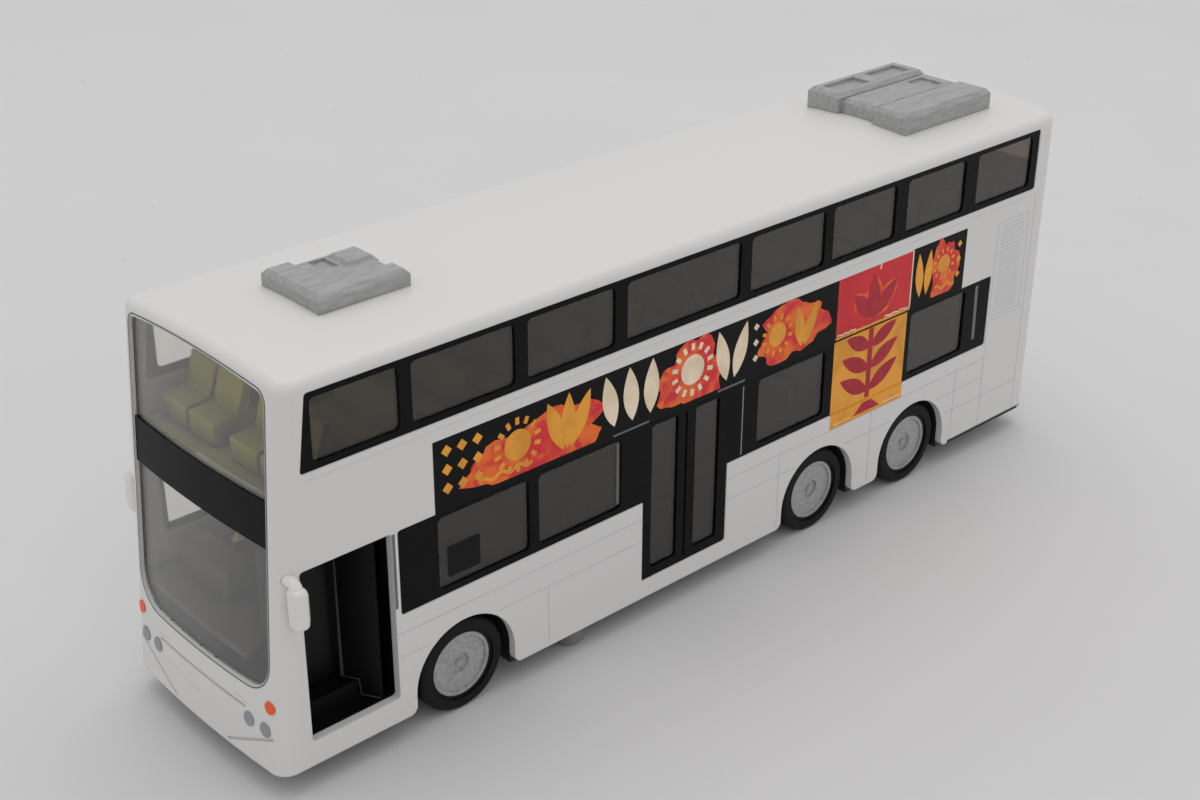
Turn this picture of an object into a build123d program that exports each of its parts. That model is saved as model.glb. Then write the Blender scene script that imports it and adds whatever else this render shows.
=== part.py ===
from build123d import *
import os
from math import sqrt

os.makedirs("parts", exist_ok=True)

# Die-cast model of a three-axle double decker bus, in millimetres.
# X is forward, Y is to the door side, Z is up from the ground the wheels stand on.
# Places along the bus are shares of its length, from 0 at the foot of the front to 1 at the rear.

# Body casting
body_length = 157.0
body_width = 35.8
roof_height = 58.6
skirt_height = 3.8
roof_crown = 1.3        # rise of the roof from its sides to its middle
front_rake = 4.0        # how far the front leans back from the skirt to the roof
front_bow = 0.8         # how far the middle of the front stands ahead of its corners
front_corner = 2.4
rear_corner = 2.6
roof_edge = 1.6
wall = 1.2
form_overrun = 1.1      # the body's upright forms run past its roof by this share, to be cut by its crown
end_cut_reach = 7.5     # depth of the cuts made from inside the front and the rear
side_cut_reach = 6.0    # depth of the cuts made from inside the sides

# Wheels and axles
axle_places = (("front", 0.1936), ("middle", 0.6446), ("rear", 0.7930))
tyre_radius = 7.0
tyre_width = 4.2
tyre_shoulder = 0.7
tyre_bead = 0.25        # depth of the step between the sidewall and the hub
tyre_bead_width = 0.5
hub_radius = 4.8
hub_recess = 0.35       # face of the hub behind the outer face of the tyre
hub_rim_width = 0.55
hub_face_drop = 0.3     # face of the hub behind its rim
hub_dimple_radius = 1.5
hub_dimple_drop = 0.6
hub_cap_radius = 0.6
axle_end_cover = 0.6    # thickness of the hub outside the end of the axle pin
wheel_inset = 0.9       # outer face of the tyre behind the side of the body
axle_radius = 0.75
axle_clearance = 0.05
arch_radius = 8.4
arch_rise = 2.7         # centre of the arch above the skirt
arch_flare = 1.2        # rounding of the arch's lower corners

# Inserts carried inside the thickness of the body's wall
frame_recess = 0.15
frame_thickness = 0.3
glass_thickness = 0.6
lamp_stand = 0.15
lamp_depth = 0.9

# Window bands
upper_head_drop = 1.7           # upper windows below the side edge of the roof
upper_window_height = 10.3
upper_front = 0.0434
upper_front_lean = 1.4          # how far the front edge of the band leans back
upper_rear = 0.9688
lower_sill_rise = 16.1          # lower windows above the skirt
lower_window_height = 12.5
lower_front = 0.1287
lower_rear = 0.9076
pane_border = 0.9
band_corner = 0.5
pane_corner = 0.8

# Panes in the bands, as their front and rear edges
upper_panes = (
    (0.0567, 0.1382), (0.1503, 0.2548), (0.2682, 0.3656), (0.3796, 0.5197),
    (0.5331, 0.6338), (0.6452, 0.7376), (0.7548, 0.8465), (0.8662, 0.9580),
)
lower_panes_left = (
    (0.1694, 0.2669), (0.2777, 0.3739), (0.5503, 0.6452), (0.6567, 0.7650), (0.7758, 0.8662),
)
lower_panes_right = (
    (0.1382, 0.2548), (0.2682, 0.3656), (0.3796, 0.5197), (0.5331, 0.6338), (0.6452, 0.7376),
    (0.7548, 0.8940),
)

# Doors
door_front = 0.0357
door_rear = 0.1229
door_sill_rise = 3.7
mid_door_front = 0.4000
mid_door_rear = 0.5102
mid_door_sill_rise = 3.0
door_leaf_glass = ((0.4115, 0.4446), (0.4669, 0.4981))
door_glass_rise = 4.5
door_split_width = 0.35
well_wall = 0.8
well_depth = 7.0
well_step_rise = 2.4
well_step_depth = 3.2

# Driver's side window
cab_window_front = 0.0440
cab_window_rear = 0.1153
cab_sill_rise = 18.6

# Windscreen opening and the display band across it
screen_margin = 2.6             # windscreen's edge in from the side of the body
screen_foot_rise = 10.9
screen_foot_sag = 0.5
screen_head_drop = 1.6          # windscreen below the roof
screen_low_corner = 4.6
screen_high_corner = 1.4
display_height = 6.3
display_drop = 0.2              # middle of the display band below the middle of the wall between the decks

# Rear window and engine cover
rear_window_margin = 4.6
rear_window_inset = 0.5         # rear window's edges inside the height of the side windows
rear_window_corner = 1.5
engine_cover_margin = 3.4
engine_cover_foot_rise = 5.5
engine_cover_height = 15.0
engine_cover_corner = 1.2
groove_width = 0.35
groove_depth = 0.25
louvre_count = 9
louvre_margin = 2.2
rear_bumper_rise = 4.2

# Decks and seats
lower_deck_drop = 1.6           # top of the lower deck below its windows
upper_deck_drop = 4.4
deck_thickness = 1.0
seat_height = 8.0
seat_cushion_height = 3.4
seat_depth = 5.2
seat_back_thickness = 1.2
seat_back_lean = 1.0
seat_aisle = 3.6
seat_side_gap = 1.2
seat_pitch = 0.0637
# Runs of seats, each as the front of its first seat and how many
upper_seats = ((0.1178, 14),)
lower_seats_left = ((0.2197, 3), (0.5764, 6))
lower_seats_right = ((0.2834, 10),)

# Driver's place
console_front = 0.0446
console_depth = 5.0
console_height = 4.4
console_rounding = 1.0
console_centre_gap = 1.5
console_side_gap = 3.8
steering_radius = 2.7
steering_tube = 0.4
steering_place = 0.0885
steering_side_gap = 9.4
steering_rise = 6.7
steering_slope = 1.4            # rise of the column for each unit back
steering_column = 4.4

# Base plate
base_drop = 0.6                 # underside of the plate below the skirt
base_thickness = 1.4
well_clearance = 0.1
well_shell = 0.8
well_inner_gap = 6.5            # inner wall of a wheel well in from the body's inner face
bearing_width = 2.0
bearing_half_length = 2.0
bearing_height = 2.2            # top of the bearing block above the axle
boss_place = 0.3248
boss_side_gap = 4.9
boss_radius = 2.6
boss_drop = 1.8
boss_bore_radius = 1.3
boss_bore_depth = 1.0
rail_offset = 6.0
rail_width = 1.6
rail_drop = 0.5
rail_ends = (0.045, 0.955)
cross_rails = (0.09, 0.27, 0.40, 0.50, 0.58, 0.72, 0.87, 0.94)

# Roof pods, each a block and its raised strips as places from the pod's middle:
# forward, across, length, width and height
pod_bevel = 0.7
pod_bevel_angle = 40.0
pod_recess_reach = 4.0
front_pod_place = 0.1630
front_pod_blocks = (
    (0.0, 0.0, 14.0, 12.6, 1.5), (0.0, 4.5, 14.0, 3.6, 2.2), (4.8, 0.0, 4.4, 12.6, 2.2),
    (-4.6, -3.0, 4.8, 5.0, 2.0),
)
front_pod_recesses = ((-0.6, -3.6, 2.4, 3.4, 1.1),)
rear_pod_place = 0.8735
rear_pod_blocks = (
    (-0.4, 0.0, 20.9, 7.2, 2.5), (0.0, 6.9, 21.7, 6.6, 2.9), (0.0, -6.9, 21.7, 6.6, 3.1),
)
rear_pod_recesses = ((5.2, -6.9, 7.6, 3.6, 2.6), (-5.2, -6.9, 7.6, 3.6, 2.6), (-6.5, 0.0, 4.0, 4.4, 2.1))

# Mirrors on their arms
mirror_place = 0.0271
mirror_side_gap = 1.4
mirror_centre_rise = 24.9
mirror_thickness = 2.1
mirror_width = 2.4
mirror_height = 5.8
mirror_rounding = 0.75
arm_radius = 0.8
arm_rise = 0.3                  # middle of the arm above the top of the mirror
arm_root = 1.1                  # how far the arm plugs in behind the body's side
arm_bend = 1.0

# Lamps, in from the side of the body and up from the skirt
indicator = (2.4, 9.7)
indicator_radius = 0.9
headlamps = ((6.8, 6.0), (3.4, 6.0))
headlamp_radius = 1.0
tail_lamps = ((2.6, 18.0), (2.6, 21.0), (2.6, 24.0))
tail_lamp_radius = 0.95
bumper_inner = 11.6             # foot of the bumper's slanted lines, in from the side
bumper_outer = 1.9
bumper_line_low = 0.6
bumper_line_high = 5.2
bumper_crease_rise = 7.4
bumper_crease_margin = 7.6

front_foot = body_length / 2
rear_face = -body_length / 2
half_width = body_width / 2
inner_side = half_width - wall
roof_side = roof_height - roof_crown
upper_head = roof_side - upper_head_drop
upper_sill = upper_head - upper_window_height
lower_sill = skirt_height + lower_sill_rise
lower_head = lower_sill + lower_window_height
lower_deck_top = lower_sill - lower_deck_drop
upper_deck_top = upper_sill - upper_deck_drop
door_sill = skirt_height + door_sill_rise
display_middle = (lower_head + upper_sill) / 2 - display_drop
axle_height = tyre_radius
arch_height = skirt_height + arch_rise
glass_outer = frame_recess + frame_thickness
glass_inner = glass_outer + glass_thickness
base_bottom = skirt_height - base_drop
base_top = base_bottom + base_thickness
cut_start = half_width - side_cut_reach
well_inner = inner_side - well_inner_gap
tyre_outer = half_width - wheel_inset
hub_outer = tyre_outer - hub_recess
hub_width = tyre_width - 2 * hub_recess
pin_half_length = hub_outer - hub_dimple_drop - axle_end_cover


def along(share):
    """Place along X of a share of the body's length."""
    return front_foot - share * body_length


def front_at(height):
    """Place of the middle of the front at a height."""
    return front_foot - front_rake * (height - skirt_height) / (roof_side - skirt_height)


def plan_outline(height, inset, tail_extension=0.0):
    """Outline of the body in plan at a height, moved in from its skin."""
    nose = front_at(height) - inset
    shoulder = nose - front_bow
    tail = rear_face + inset - tail_extension
    side = half_width - inset
    with BuildSketch(Plane.XY.offset(height)) as outline:
        with BuildLine():
            Polyline((shoulder, side), (tail, side), (tail, -side), (shoulder, -side))
            ThreePointArc((shoulder, -side), (nose, 0), (shoulder, side))
        make_face()
        fillet(outline.vertices().group_by(Axis.X)[-1], front_corner - inset)
        if tail_extension == 0:
            fillet(outline.vertices().group_by(Axis.X)[0], rear_corner - inset)
    return outline.sketch


def rear_outline(height, inset):
    """Upright outline that gives the body its rear and rounded rear corners."""
    tail = rear_face + inset
    side = half_width - inset
    with BuildSketch(Plane.XY.offset(height)) as outline:
        with Locations((tail + body_length, 0)):
            Rectangle(2 * body_length, 2 * side)
        fillet(outline.vertices().group_by(Axis.X)[0], rear_corner - inset)
    return outline.sketch


def cross_section(low, inset):
    """Crowned roof seen from the front, drawn wider than the body so that it cuts only the roof."""
    side = half_width - inset
    crown_radius = (side ** 2 + roof_crown ** 2) / (2 * roof_crown)
    with BuildSketch(Plane(origin=(body_length, 0, 0), x_dir=(0, 1, 0), z_dir=(1, 0, 0))) as section:
        with Locations((0, roof_height - inset - crown_radius)):
            Circle(crown_radius)
        with Locations((0, low)):
            Rectangle(
                3 * side, 2 * (roof_height - low), align=(Align.CENTER, Align.MIN), mode=Mode.INTERSECT,
            )
    return section.sketch


def body_form(inset, low, edge=0.0):
    """Solid of the body's outside, moved in from its skin, from a low height to the roof."""
    rise = form_overrun * (roof_height - low)
    lean = front_rake / (roof_side - skirt_height)
    with BuildPart() as form:
        extrude(
            to_extrude=plan_outline(low, inset, 2 * front_rake),
            amount=rise * sqrt(1 + lean ** 2), dir=(-lean, 0, 1),
        )
        extrude(to_extrude=rear_outline(low, inset), amount=rise, mode=Mode.INTERSECT)
        extrude(to_extrude=cross_section(low, inset), amount=-2 * body_length, mode=Mode.INTERSECT)
        if edge > 0:
            fillet(form.faces().sort_by(Axis.Z)[-1].edges(), edge)
    return form.part


def skin_band(outer, inner):
    """Layer of the body's skin between two insets."""
    with BuildPart() as band:
        add(body_form(outer, skirt_height))
        add(body_form(inner, skirt_height - 1), mode=Mode.SUBTRACT)
    return band.part


def side_plane(side):
    """Plane inside a side wall, with local axes X and Z."""
    return Plane(origin=(0, side * cut_start, 0), x_dir=(1, 0, 0), z_dir=(0, -1, 0))


def side_prism(outlines, side, mode):
    """Cut or keep what lies behind outlines drawn on a side of the bus."""
    extrude(to_extrude=outlines, amount=-2 * side * side_cut_reach, mode=mode)


def end_plane(direction):
    """Plane inside the front (1) or the rear (-1), with local axes Y and Z."""
    return Plane(
        origin=(direction * (front_foot - end_cut_reach), 0, 0), x_dir=(0, 1, 0), z_dir=(1, 0, 0),
    )


def end_prism(outlines, direction, mode):
    """Cut or keep what lies behind outlines drawn on the front or the rear."""
    extrude(to_extrude=outlines, amount=2 * direction * end_cut_reach, mode=mode)


def box_outline(first, second, low, high, radius):
    """Rounded rectangle between two places and two heights, in the open sketch."""
    with Locations(((first + second) / 2, (low + high) / 2)):
        RectangleRounded(abs(first - second), high - low, radius)


def upper_band(side):
    """Opening of the upper deck's window band."""
    front = along(upper_front)
    with BuildSketch(side_plane(side)) as band:
        with BuildLine():
            Polyline(
                (front, upper_sill), (front - upper_front_lean, upper_head),
                (along(upper_rear), upper_head), (along(upper_rear), upper_sill), close=True,
            )
        make_face()
        fillet(band.vertices(), band_corner)
    return band.sketch


def lower_band(side):
    """Openings of the lower deck's windows and the closed door."""
    with BuildSketch(side_plane(side)) as band:
        box_outline(along(lower_front), along(lower_rear), lower_sill, lower_head, band_corner)
        if side > 0:
            box_outline(
                along(mid_door_front), along(mid_door_rear),
                skirt_height + mid_door_sill_rise, lower_head, band_corner,
            )
        else:
            box_outline(
                along(cab_window_front), along(cab_window_rear),
                skirt_height + cab_sill_rise, lower_head, pane_corner,
            )
    return band.sketch


def upper_pane_outlines(side):
    """Clear panes of the upper deck."""
    with BuildSketch(side_plane(side)) as panes:
        for front, rear in upper_panes:
            box_outline(
                along(front), along(rear), upper_sill + pane_border, upper_head - pane_border, pane_corner,
            )
    return panes.sketch


def lower_pane_outlines(side):
    """Clear panes of the lower deck, its door and the driver's window."""
    pane_high = lower_head - pane_border
    with BuildSketch(side_plane(side)) as panes:
        for front, rear in lower_panes_left if side > 0 else lower_panes_right:
            box_outline(along(front), along(rear), lower_sill + pane_border, pane_high, pane_corner)
        if side > 0:
            for front, rear in door_leaf_glass:
                box_outline(
                    along(front), along(rear), skirt_height + door_glass_rise, pane_high, pane_corner / 2,
                )
            split_low = skirt_height + mid_door_sill_rise + pane_border
            with Locations((along((mid_door_front + mid_door_rear) / 2), (split_low + pane_high) / 2)):
                Rectangle(door_split_width, pane_high - split_low)
        else:
            box_outline(
                along(cab_window_front) - pane_border, along(cab_window_rear) + pane_border,
                skirt_height + cab_sill_rise + pane_border, pane_high, pane_corner / 2,
            )
    return panes.sketch


def door_outline():
    """Opening of the front door."""
    with BuildSketch(side_plane(1)) as door:
        box_outline(along(door_front), along(door_rear), door_sill, lower_head, band_corner)
    return door.sketch


def arch_outlines(side):
    """Wheel arches: half circles on upright sides, rounded outward at the skirt."""
    flare_place = arch_flare * (1 - sqrt(0.5))
    with BuildSketch(side_plane(side)) as arches:
        for name, share in axle_places:
            place = along(share)
            with BuildLine():
                ThreePointArc(
                    (place + arch_radius, arch_height), (place, arch_height + arch_radius),
                    (place - arch_radius, arch_height),
                )
                for way in (1, -1):
                    edge = place + way * arch_radius
                    Line((edge, arch_height), (edge, skirt_height + arch_flare))
                    ThreePointArc(
                        (edge, skirt_height + arch_flare),
                        (edge + way * flare_place, skirt_height + flare_place),
                        (edge + way * arch_flare, skirt_height),
                    )
                    Line((edge + way * arch_flare, skirt_height), (edge + way * arch_flare, 0))
                Line((place + arch_radius + arch_flare, 0), (place - arch_radius - arch_flare, 0))
            make_face()
    return arches.sketch


def screen_outline():
    """Opening of the one-piece windscreen, with a sagging foot and a crowned head."""
    edge = half_width - screen_margin
    foot = skirt_height + screen_foot_rise
    with BuildSketch(end_plane(1)) as screen:
        with BuildLine():
            Line((edge, foot + screen_foot_sag), (edge, roof_side - screen_head_drop))
            Line((-edge, foot + screen_foot_sag), (-edge, roof_side - screen_head_drop))
            ThreePointArc(
                (edge, foot + screen_foot_sag), (0, foot), (-edge, foot + screen_foot_sag),
            )
            ThreePointArc(
                (edge, roof_side - screen_head_drop), (0, roof_height - screen_head_drop),
                (-edge, roof_side - screen_head_drop),
            )
        make_face()
        fillet(screen.vertices().group_by(Axis.Y)[0], screen_low_corner)
        fillet(screen.vertices().group_by(Axis.Y)[-1], screen_high_corner)
    return screen.sketch


def rear_window_outline():
    """Opening of the upper deck's rear window."""
    edge = half_width - rear_window_margin
    with BuildSketch(end_plane(-1)) as window:
        box_outline(
            edge, -edge, upper_sill + rear_window_inset, upper_head - rear_window_inset, rear_window_corner,
        )
    return window.sketch


def lamp_outlines(direction, places, radius):
    """Round lamps on both sides of the front or the rear."""
    with BuildSketch(end_plane(direction)) as lamps:
        for margin, rise in places:
            across = half_width - margin
            with Locations((across, skirt_height + rise), (-across, skirt_height + rise)):
                Circle(radius)
    return lamps.sketch


def bumper_lines():
    """Lines pressed into the front bumper."""
    low = skirt_height + bumper_line_low
    high = skirt_height + bumper_line_high
    crease = skirt_height + bumper_crease_rise
    inner = half_width - bumper_inner
    outer = half_width - bumper_outer
    edge = half_width - bumper_crease_margin
    with BuildSketch(end_plane(1)) as lines:
        for points in (
            ((inner, low), (outer, high)), ((-inner, low), (-outer, high)), ((-edge, crease), (edge, crease)),
        ):
            with BuildLine():
                Line(*points)
            trace(line_width=groove_width)
    return lines.sketch


def rear_lines():
    """Outline of the engine cover, its louvres and the line of the rear bumper."""
    edge = half_width - engine_cover_margin
    foot = skirt_height + engine_cover_foot_rise
    head = foot + engine_cover_height
    louvre_span = head - foot - 2 * louvre_margin
    with BuildSketch(end_plane(-1)) as lines:
        box_outline(edge, -edge, foot, head, engine_cover_corner)
        with Locations((0, (foot + head) / 2)):
            RectangleRounded(
                2 * (edge - groove_width), engine_cover_height - 2 * groove_width,
                engine_cover_corner - groove_width, mode=Mode.SUBTRACT,
            )
        with Locations((0, (foot + head) / 2)):
            with GridLocations(0, louvre_span / (louvre_count - 1), 1, louvre_count):
                Rectangle(2 * (edge - louvre_margin), groove_width)
        with Locations((0, skirt_height + rear_bumper_rise)):
            Rectangle(2 * edge, groove_width)
    return lines.sketch


def pressed_lines(lines, direction):
    """Shallow lines pressed into the skin of the front or the rear."""
    with BuildPart() as pressed:
        add(skin_band(-lamp_stand, groove_depth))
        end_prism(lines, direction, Mode.INTERSECT)
    return pressed.part


def mirror_arm(side, mode=Mode.ADD):
    """Round arm of a mirror, from inside the body's wall to the middle of the mirror's head."""
    place = along(mirror_place)
    across = side * (half_width + mirror_side_gap)
    middle = skirt_height + mirror_centre_rise
    top = middle + mirror_height / 2 + arm_rise
    with BuildLine() as path:
        FilletPolyline(
            (place, side * (half_width - arm_root), top), (place, across, top), (place, across, middle),
            radius=arm_bend,
        )
    with BuildSketch(Plane(origin=path.line @ 0, z_dir=path.line % 0)) as section:
        Circle(arm_radius)
    sweep(sections=section.sketch, path=path.line, mode=mode)


def finish(piece, name):
    """Label a finished piece and write it."""
    piece.part.label = name
    export_step(piece.part, "parts/" + name + ".step")


# Body casting: one hollow shell with its windows, doors, lamp holes and wheel arches cut
with BuildPart() as body_shell:
    add(body_form(0, skirt_height, roof_edge))
    add(body_form(wall, skirt_height - 1, roof_edge - wall), mode=Mode.SUBTRACT)
    for side in (1, -1):
        side_prism(upper_band(side), side, Mode.SUBTRACT)
        side_prism(lower_band(side), side, Mode.SUBTRACT)
        side_prism(arch_outlines(side), side, Mode.SUBTRACT)
        mirror_arm(side, Mode.SUBTRACT)
    side_prism(door_outline(), 1, Mode.SUBTRACT)
    end_prism(screen_outline(), 1, Mode.SUBTRACT)
    end_prism(rear_window_outline(), -1, Mode.SUBTRACT)
    end_prism(lamp_outlines(1, (indicator,), indicator_radius), 1, Mode.SUBTRACT)
    end_prism(lamp_outlines(1, headlamps, headlamp_radius), 1, Mode.SUBTRACT)
    end_prism(lamp_outlines(-1, tail_lamps, tail_lamp_radius), -1, Mode.SUBTRACT)
    add(pressed_lines(bumper_lines(), 1), mode=Mode.SUBTRACT)
    add(pressed_lines(rear_lines(), -1), mode=Mode.SUBTRACT)
finish(body_shell, "body_shell")

# Glazing and its black frames, carried in the openings
for side, side_name in ((1, "left"), (-1, "right")):
    with BuildPart() as upper_glass:
        add(skin_band(glass_outer, glass_inner))
        side_prism(upper_band(side), side, Mode.INTERSECT)
    finish(upper_glass, "upper_glass_" + side_name)

    with BuildPart() as upper_frame:
        add(skin_band(frame_recess, glass_outer))
        side_prism(upper_band(side), side, Mode.INTERSECT)
        side_prism(upper_pane_outlines(side), side, Mode.SUBTRACT)
    finish(upper_frame, "upper_frame_" + side_name)

    with BuildPart() as lower_glass:
        add(skin_band(glass_outer, glass_inner))
        side_prism(lower_band(side), side, Mode.INTERSECT)
    finish(lower_glass, "lower_glass_" + side_name)

    with BuildPart() as lower_frame:
        add(skin_band(frame_recess, glass_outer))
        side_prism(lower_band(side), side, Mode.INTERSECT)
        side_prism(lower_pane_outlines(side), side, Mode.SUBTRACT)
    finish(lower_frame, "lower_frame_" + side_name)

with BuildPart() as windscreen:
    add(skin_band(glass_outer, glass_inner))
    end_prism(screen_outline(), 1, Mode.INTERSECT)
finish(windscreen, "windscreen")

with BuildPart() as display_band:
    add(skin_band(frame_recess, glass_outer))
    end_prism(screen_outline(), 1, Mode.INTERSECT)
    with Locations((front_foot, 0, display_middle)):
        Box(body_length, body_width, display_height, mode=Mode.INTERSECT)
finish(display_band, "display_band")

with BuildPart() as rear_window:
    add(skin_band(frame_recess, glass_inner))
    end_prism(rear_window_outline(), -1, Mode.INTERSECT)
finish(rear_window, "rear_window")

# Lamps
for name, direction, places, radius in (
    ("indicators", 1, (indicator,), indicator_radius),
    ("headlamps", 1, headlamps, headlamp_radius),
    ("tail_lamps", -1, tail_lamps, tail_lamp_radius),
):
    with BuildPart() as lamp_set:
        add(skin_band(-lamp_stand if direction > 0 else 0, lamp_depth))
        end_prism(lamp_outlines(direction, places, radius), direction, Mode.INTERSECT)
    finish(lamp_set, name)

# Entrance behind the open front door: a pocket with a step against the inside of the wall
door_middle = (along(door_front) + along(door_rear)) / 2
door_width = along(door_front) - along(door_rear)
door_height = lower_head - door_sill
with BuildPart() as door_well:
    add(body_form(wall, skirt_height))
    with Locations((door_middle, inner_side - well_depth / 2, door_sill + door_height / 2)):
        Box(door_width + 2 * well_wall, well_depth, door_height + 2 * well_wall, mode=Mode.INTERSECT)
    with Locations((
        door_middle, inner_side - (well_depth - well_wall) / 2, door_sill + door_height / 2,
    )):
        Box(door_width, well_depth - well_wall, door_height, mode=Mode.SUBTRACT)
    with Locations((
        door_middle, inner_side - well_depth + well_wall + well_step_depth / 2,
        door_sill + well_step_rise / 2,
    )):
        Box(door_width, well_step_depth, well_step_rise)
finish(door_well, "door_well")


def seat_outline(place, deck_top):
    """Side view of a seat, its cushion and leaning back, in the open sketch."""
    back = place - seat_depth
    with BuildLine() as side_view:
        Polyline(
            (place, deck_top), (place, deck_top + seat_cushion_height),
            (back + seat_back_thickness, deck_top + seat_cushion_height),
            (back + seat_back_thickness - seat_back_lean, deck_top + seat_height),
            (back - seat_back_lean, deck_top + seat_height), (back, deck_top), close=True,
        )
    make_face(side_view.edges())


def seat_rows(runs, deck_top, side):
    """Double seats along one side of a deck."""
    inner_edge = seat_aisle / 2
    outer_edge = inner_side - seat_side_gap
    plane = Plane(origin=(0, side * inner_edge, 0), x_dir=(1, 0, 0), z_dir=(0, -1, 0))
    with BuildSketch(plane) as rows:
        for first, count in runs:
            for row in range(count):
                seat_outline(along(first + row * seat_pitch), deck_top)
    extrude(to_extrude=rows.sketch, amount=-side * (outer_edge - inner_edge))


# Decks with their seats
with BuildPart() as lower_deck:
    extrude(to_extrude=plan_outline(lower_deck_top, wall), amount=-deck_thickness)
    seat_rows(lower_seats_left, lower_deck_top, 1)
    seat_rows(lower_seats_right, lower_deck_top, -1)
    with Locations((
        front_foot + along(door_rear) - well_wall - well_clearance,
        half_width + inner_side - well_depth - well_clearance, lower_deck_top,
    )):
        Box(body_length, body_width, 4 * deck_thickness, mode=Mode.SUBTRACT)
finish(lower_deck, "lower_deck")

with BuildPart() as upper_deck:
    extrude(to_extrude=plan_outline(upper_deck_top, wall), amount=-deck_thickness)
    seat_rows(upper_seats, upper_deck_top, 1)
    seat_rows(upper_seats, upper_deck_top, -1)
finish(upper_deck, "upper_deck")

# Driver's console and steering wheel on the lower deck
console_width = inner_side - console_side_gap - console_centre_gap
with BuildPart() as driver_console:
    with Locations((
        along(console_front) - console_depth / 2, -console_centre_gap - console_width / 2,
        lower_deck_top + console_height / 2,
    )):
        Box(console_depth, console_width, console_height)
    fillet(driver_console.edges().filter_by(Axis.Y).group_by(Axis.Z)[-1], console_rounding)
    wheel_plane = Plane(
        origin=(along(steering_place), steering_side_gap - inner_side, lower_deck_top + steering_rise),
        x_dir=(0, 1, 0), z_dir=(-1, 0, steering_slope),
    )
    with BuildSketch(wheel_plane):
        Circle(steering_radius)
        Circle(steering_radius - 2 * steering_tube, mode=Mode.SUBTRACT)
        Rectangle(2 * steering_radius - steering_tube, 2 * steering_tube)
    extrude(amount=steering_tube, both=True)
    with BuildSketch(wheel_plane):
        Circle(2 * steering_tube)
    extrude(amount=-steering_column)
finish(driver_console, "driver_console")

# Base plate with its wheel wells, axle bearings, chassis rails and fixing bosses
with BuildPart() as base_plate:
    extrude(to_extrude=plan_outline(base_top, wall), amount=-base_thickness)
    for name, share in axle_places:
        for side in (1, -1):
            well_width = inner_side - well_inner + well_shell
            with Locations((along(share), side * (inner_side - well_width / 2), arch_height)):
                Cylinder(arch_radius + well_clearance + well_shell, well_width, rotation=(90, 0, 0))
            with Locations((
                along(share), side * (well_inner - well_shell - bearing_width / 2),
                (base_top + axle_height + bearing_height) / 2,
            )):
                Box(2 * bearing_half_length, bearing_width, axle_height + bearing_height - base_top)
    with Locations((0, 0, base_bottom - arch_radius)):
        Box(2 * body_length, 2 * body_width, 2 * arch_radius, mode=Mode.SUBTRACT)
    for side in (1, -1):
        with Locations((
            along(sum(rail_ends) / 2), side * rail_offset, base_bottom - rail_drop / 2,
        )):
            Box((rail_ends[1] - rail_ends[0]) * body_length, rail_width, rail_drop)
    for share in cross_rails:
        with Locations((along(share), 0, base_bottom - rail_drop / 2)):
            Box(rail_width, 2 * rail_offset, rail_drop)
    for name, share in axle_places:
        for side in (1, -1):
            with Locations((along(share), side * (well_inner + half_width / 2), arch_height)):
                Cylinder(arch_radius + well_clearance, half_width, rotation=(90, 0, 0), mode=Mode.SUBTRACT)
            with Locations((along(share), side * (well_inner + half_width / 2), arch_height / 2)):
                Box(2 * (arch_radius + well_clearance), half_width, arch_height, mode=Mode.SUBTRACT)
        with Locations((along(share), 0, axle_height)):
            Cylinder(axle_radius + axle_clearance, body_width, rotation=(90, 0, 0), mode=Mode.SUBTRACT)
    for side in (1, -1):
        boss_across = side * (inner_side - boss_side_gap)
        with Locations((along(boss_place), boss_across, base_bottom - boss_drop / 2)):
            Cylinder(boss_radius, boss_drop)
        with Locations((along(boss_place), boss_across, base_bottom - boss_drop + boss_bore_depth / 2)):
            Cylinder(boss_bore_radius, boss_bore_depth, mode=Mode.SUBTRACT)
finish(base_plate, "base_plate")

# Roof pods: a block with raised strips and sunk panels, seated on the crowned roof
for name, share, blocks, recesses in (
    ("roof_pod_front", front_pod_place, front_pod_blocks, front_pod_recesses),
    ("roof_pod_rear", rear_pod_place, rear_pod_blocks, rear_pod_recesses),
):
    with BuildPart() as roof_pod:
        for forward, across, length, width, height in blocks:
            with BuildSketch(Plane.XY.offset(roof_side)):
                with Locations((along(share) + forward, across)):
                    Rectangle(length, width)
            extrude(amount=roof_crown + height - pod_bevel)
            with BuildSketch(Plane.XY.offset(roof_height + height - pod_bevel)):
                with Locations((along(share) + forward, across)):
                    Rectangle(length, width)
            extrude(amount=pod_bevel, taper=pod_bevel_angle)
        for forward, across, length, width, floor in recesses:
            with Locations((along(share) + forward, across, roof_height + floor + pod_recess_reach / 2)):
                Box(length, width, pod_recess_reach, mode=Mode.SUBTRACT)
        add(body_form(0, skirt_height), mode=Mode.SUBTRACT)
    finish(roof_pod, name)

# Mirrors: a rounded housing hung from an arm that plugs into the body
for side, side_name in ((1, "left"), (-1, "right")):
    with BuildPart() as mirror_piece:
        with Locations((
            along(mirror_place), side * (half_width + mirror_side_gap), skirt_height + mirror_centre_rise,
        )):
            Box(mirror_thickness, mirror_width, mirror_height)
        fillet(mirror_piece.edges(), mirror_rounding)
        mirror_arm(side)
    finish(mirror_piece, "mirror_" + side_name)


def turned_plane(place, side):
    """Plane through an axle, with local axes out along the axle and up."""
    return Plane(origin=(place, 0, axle_height), x_dir=(0, side, 0), z_dir=(side, 0, 0))


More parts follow.
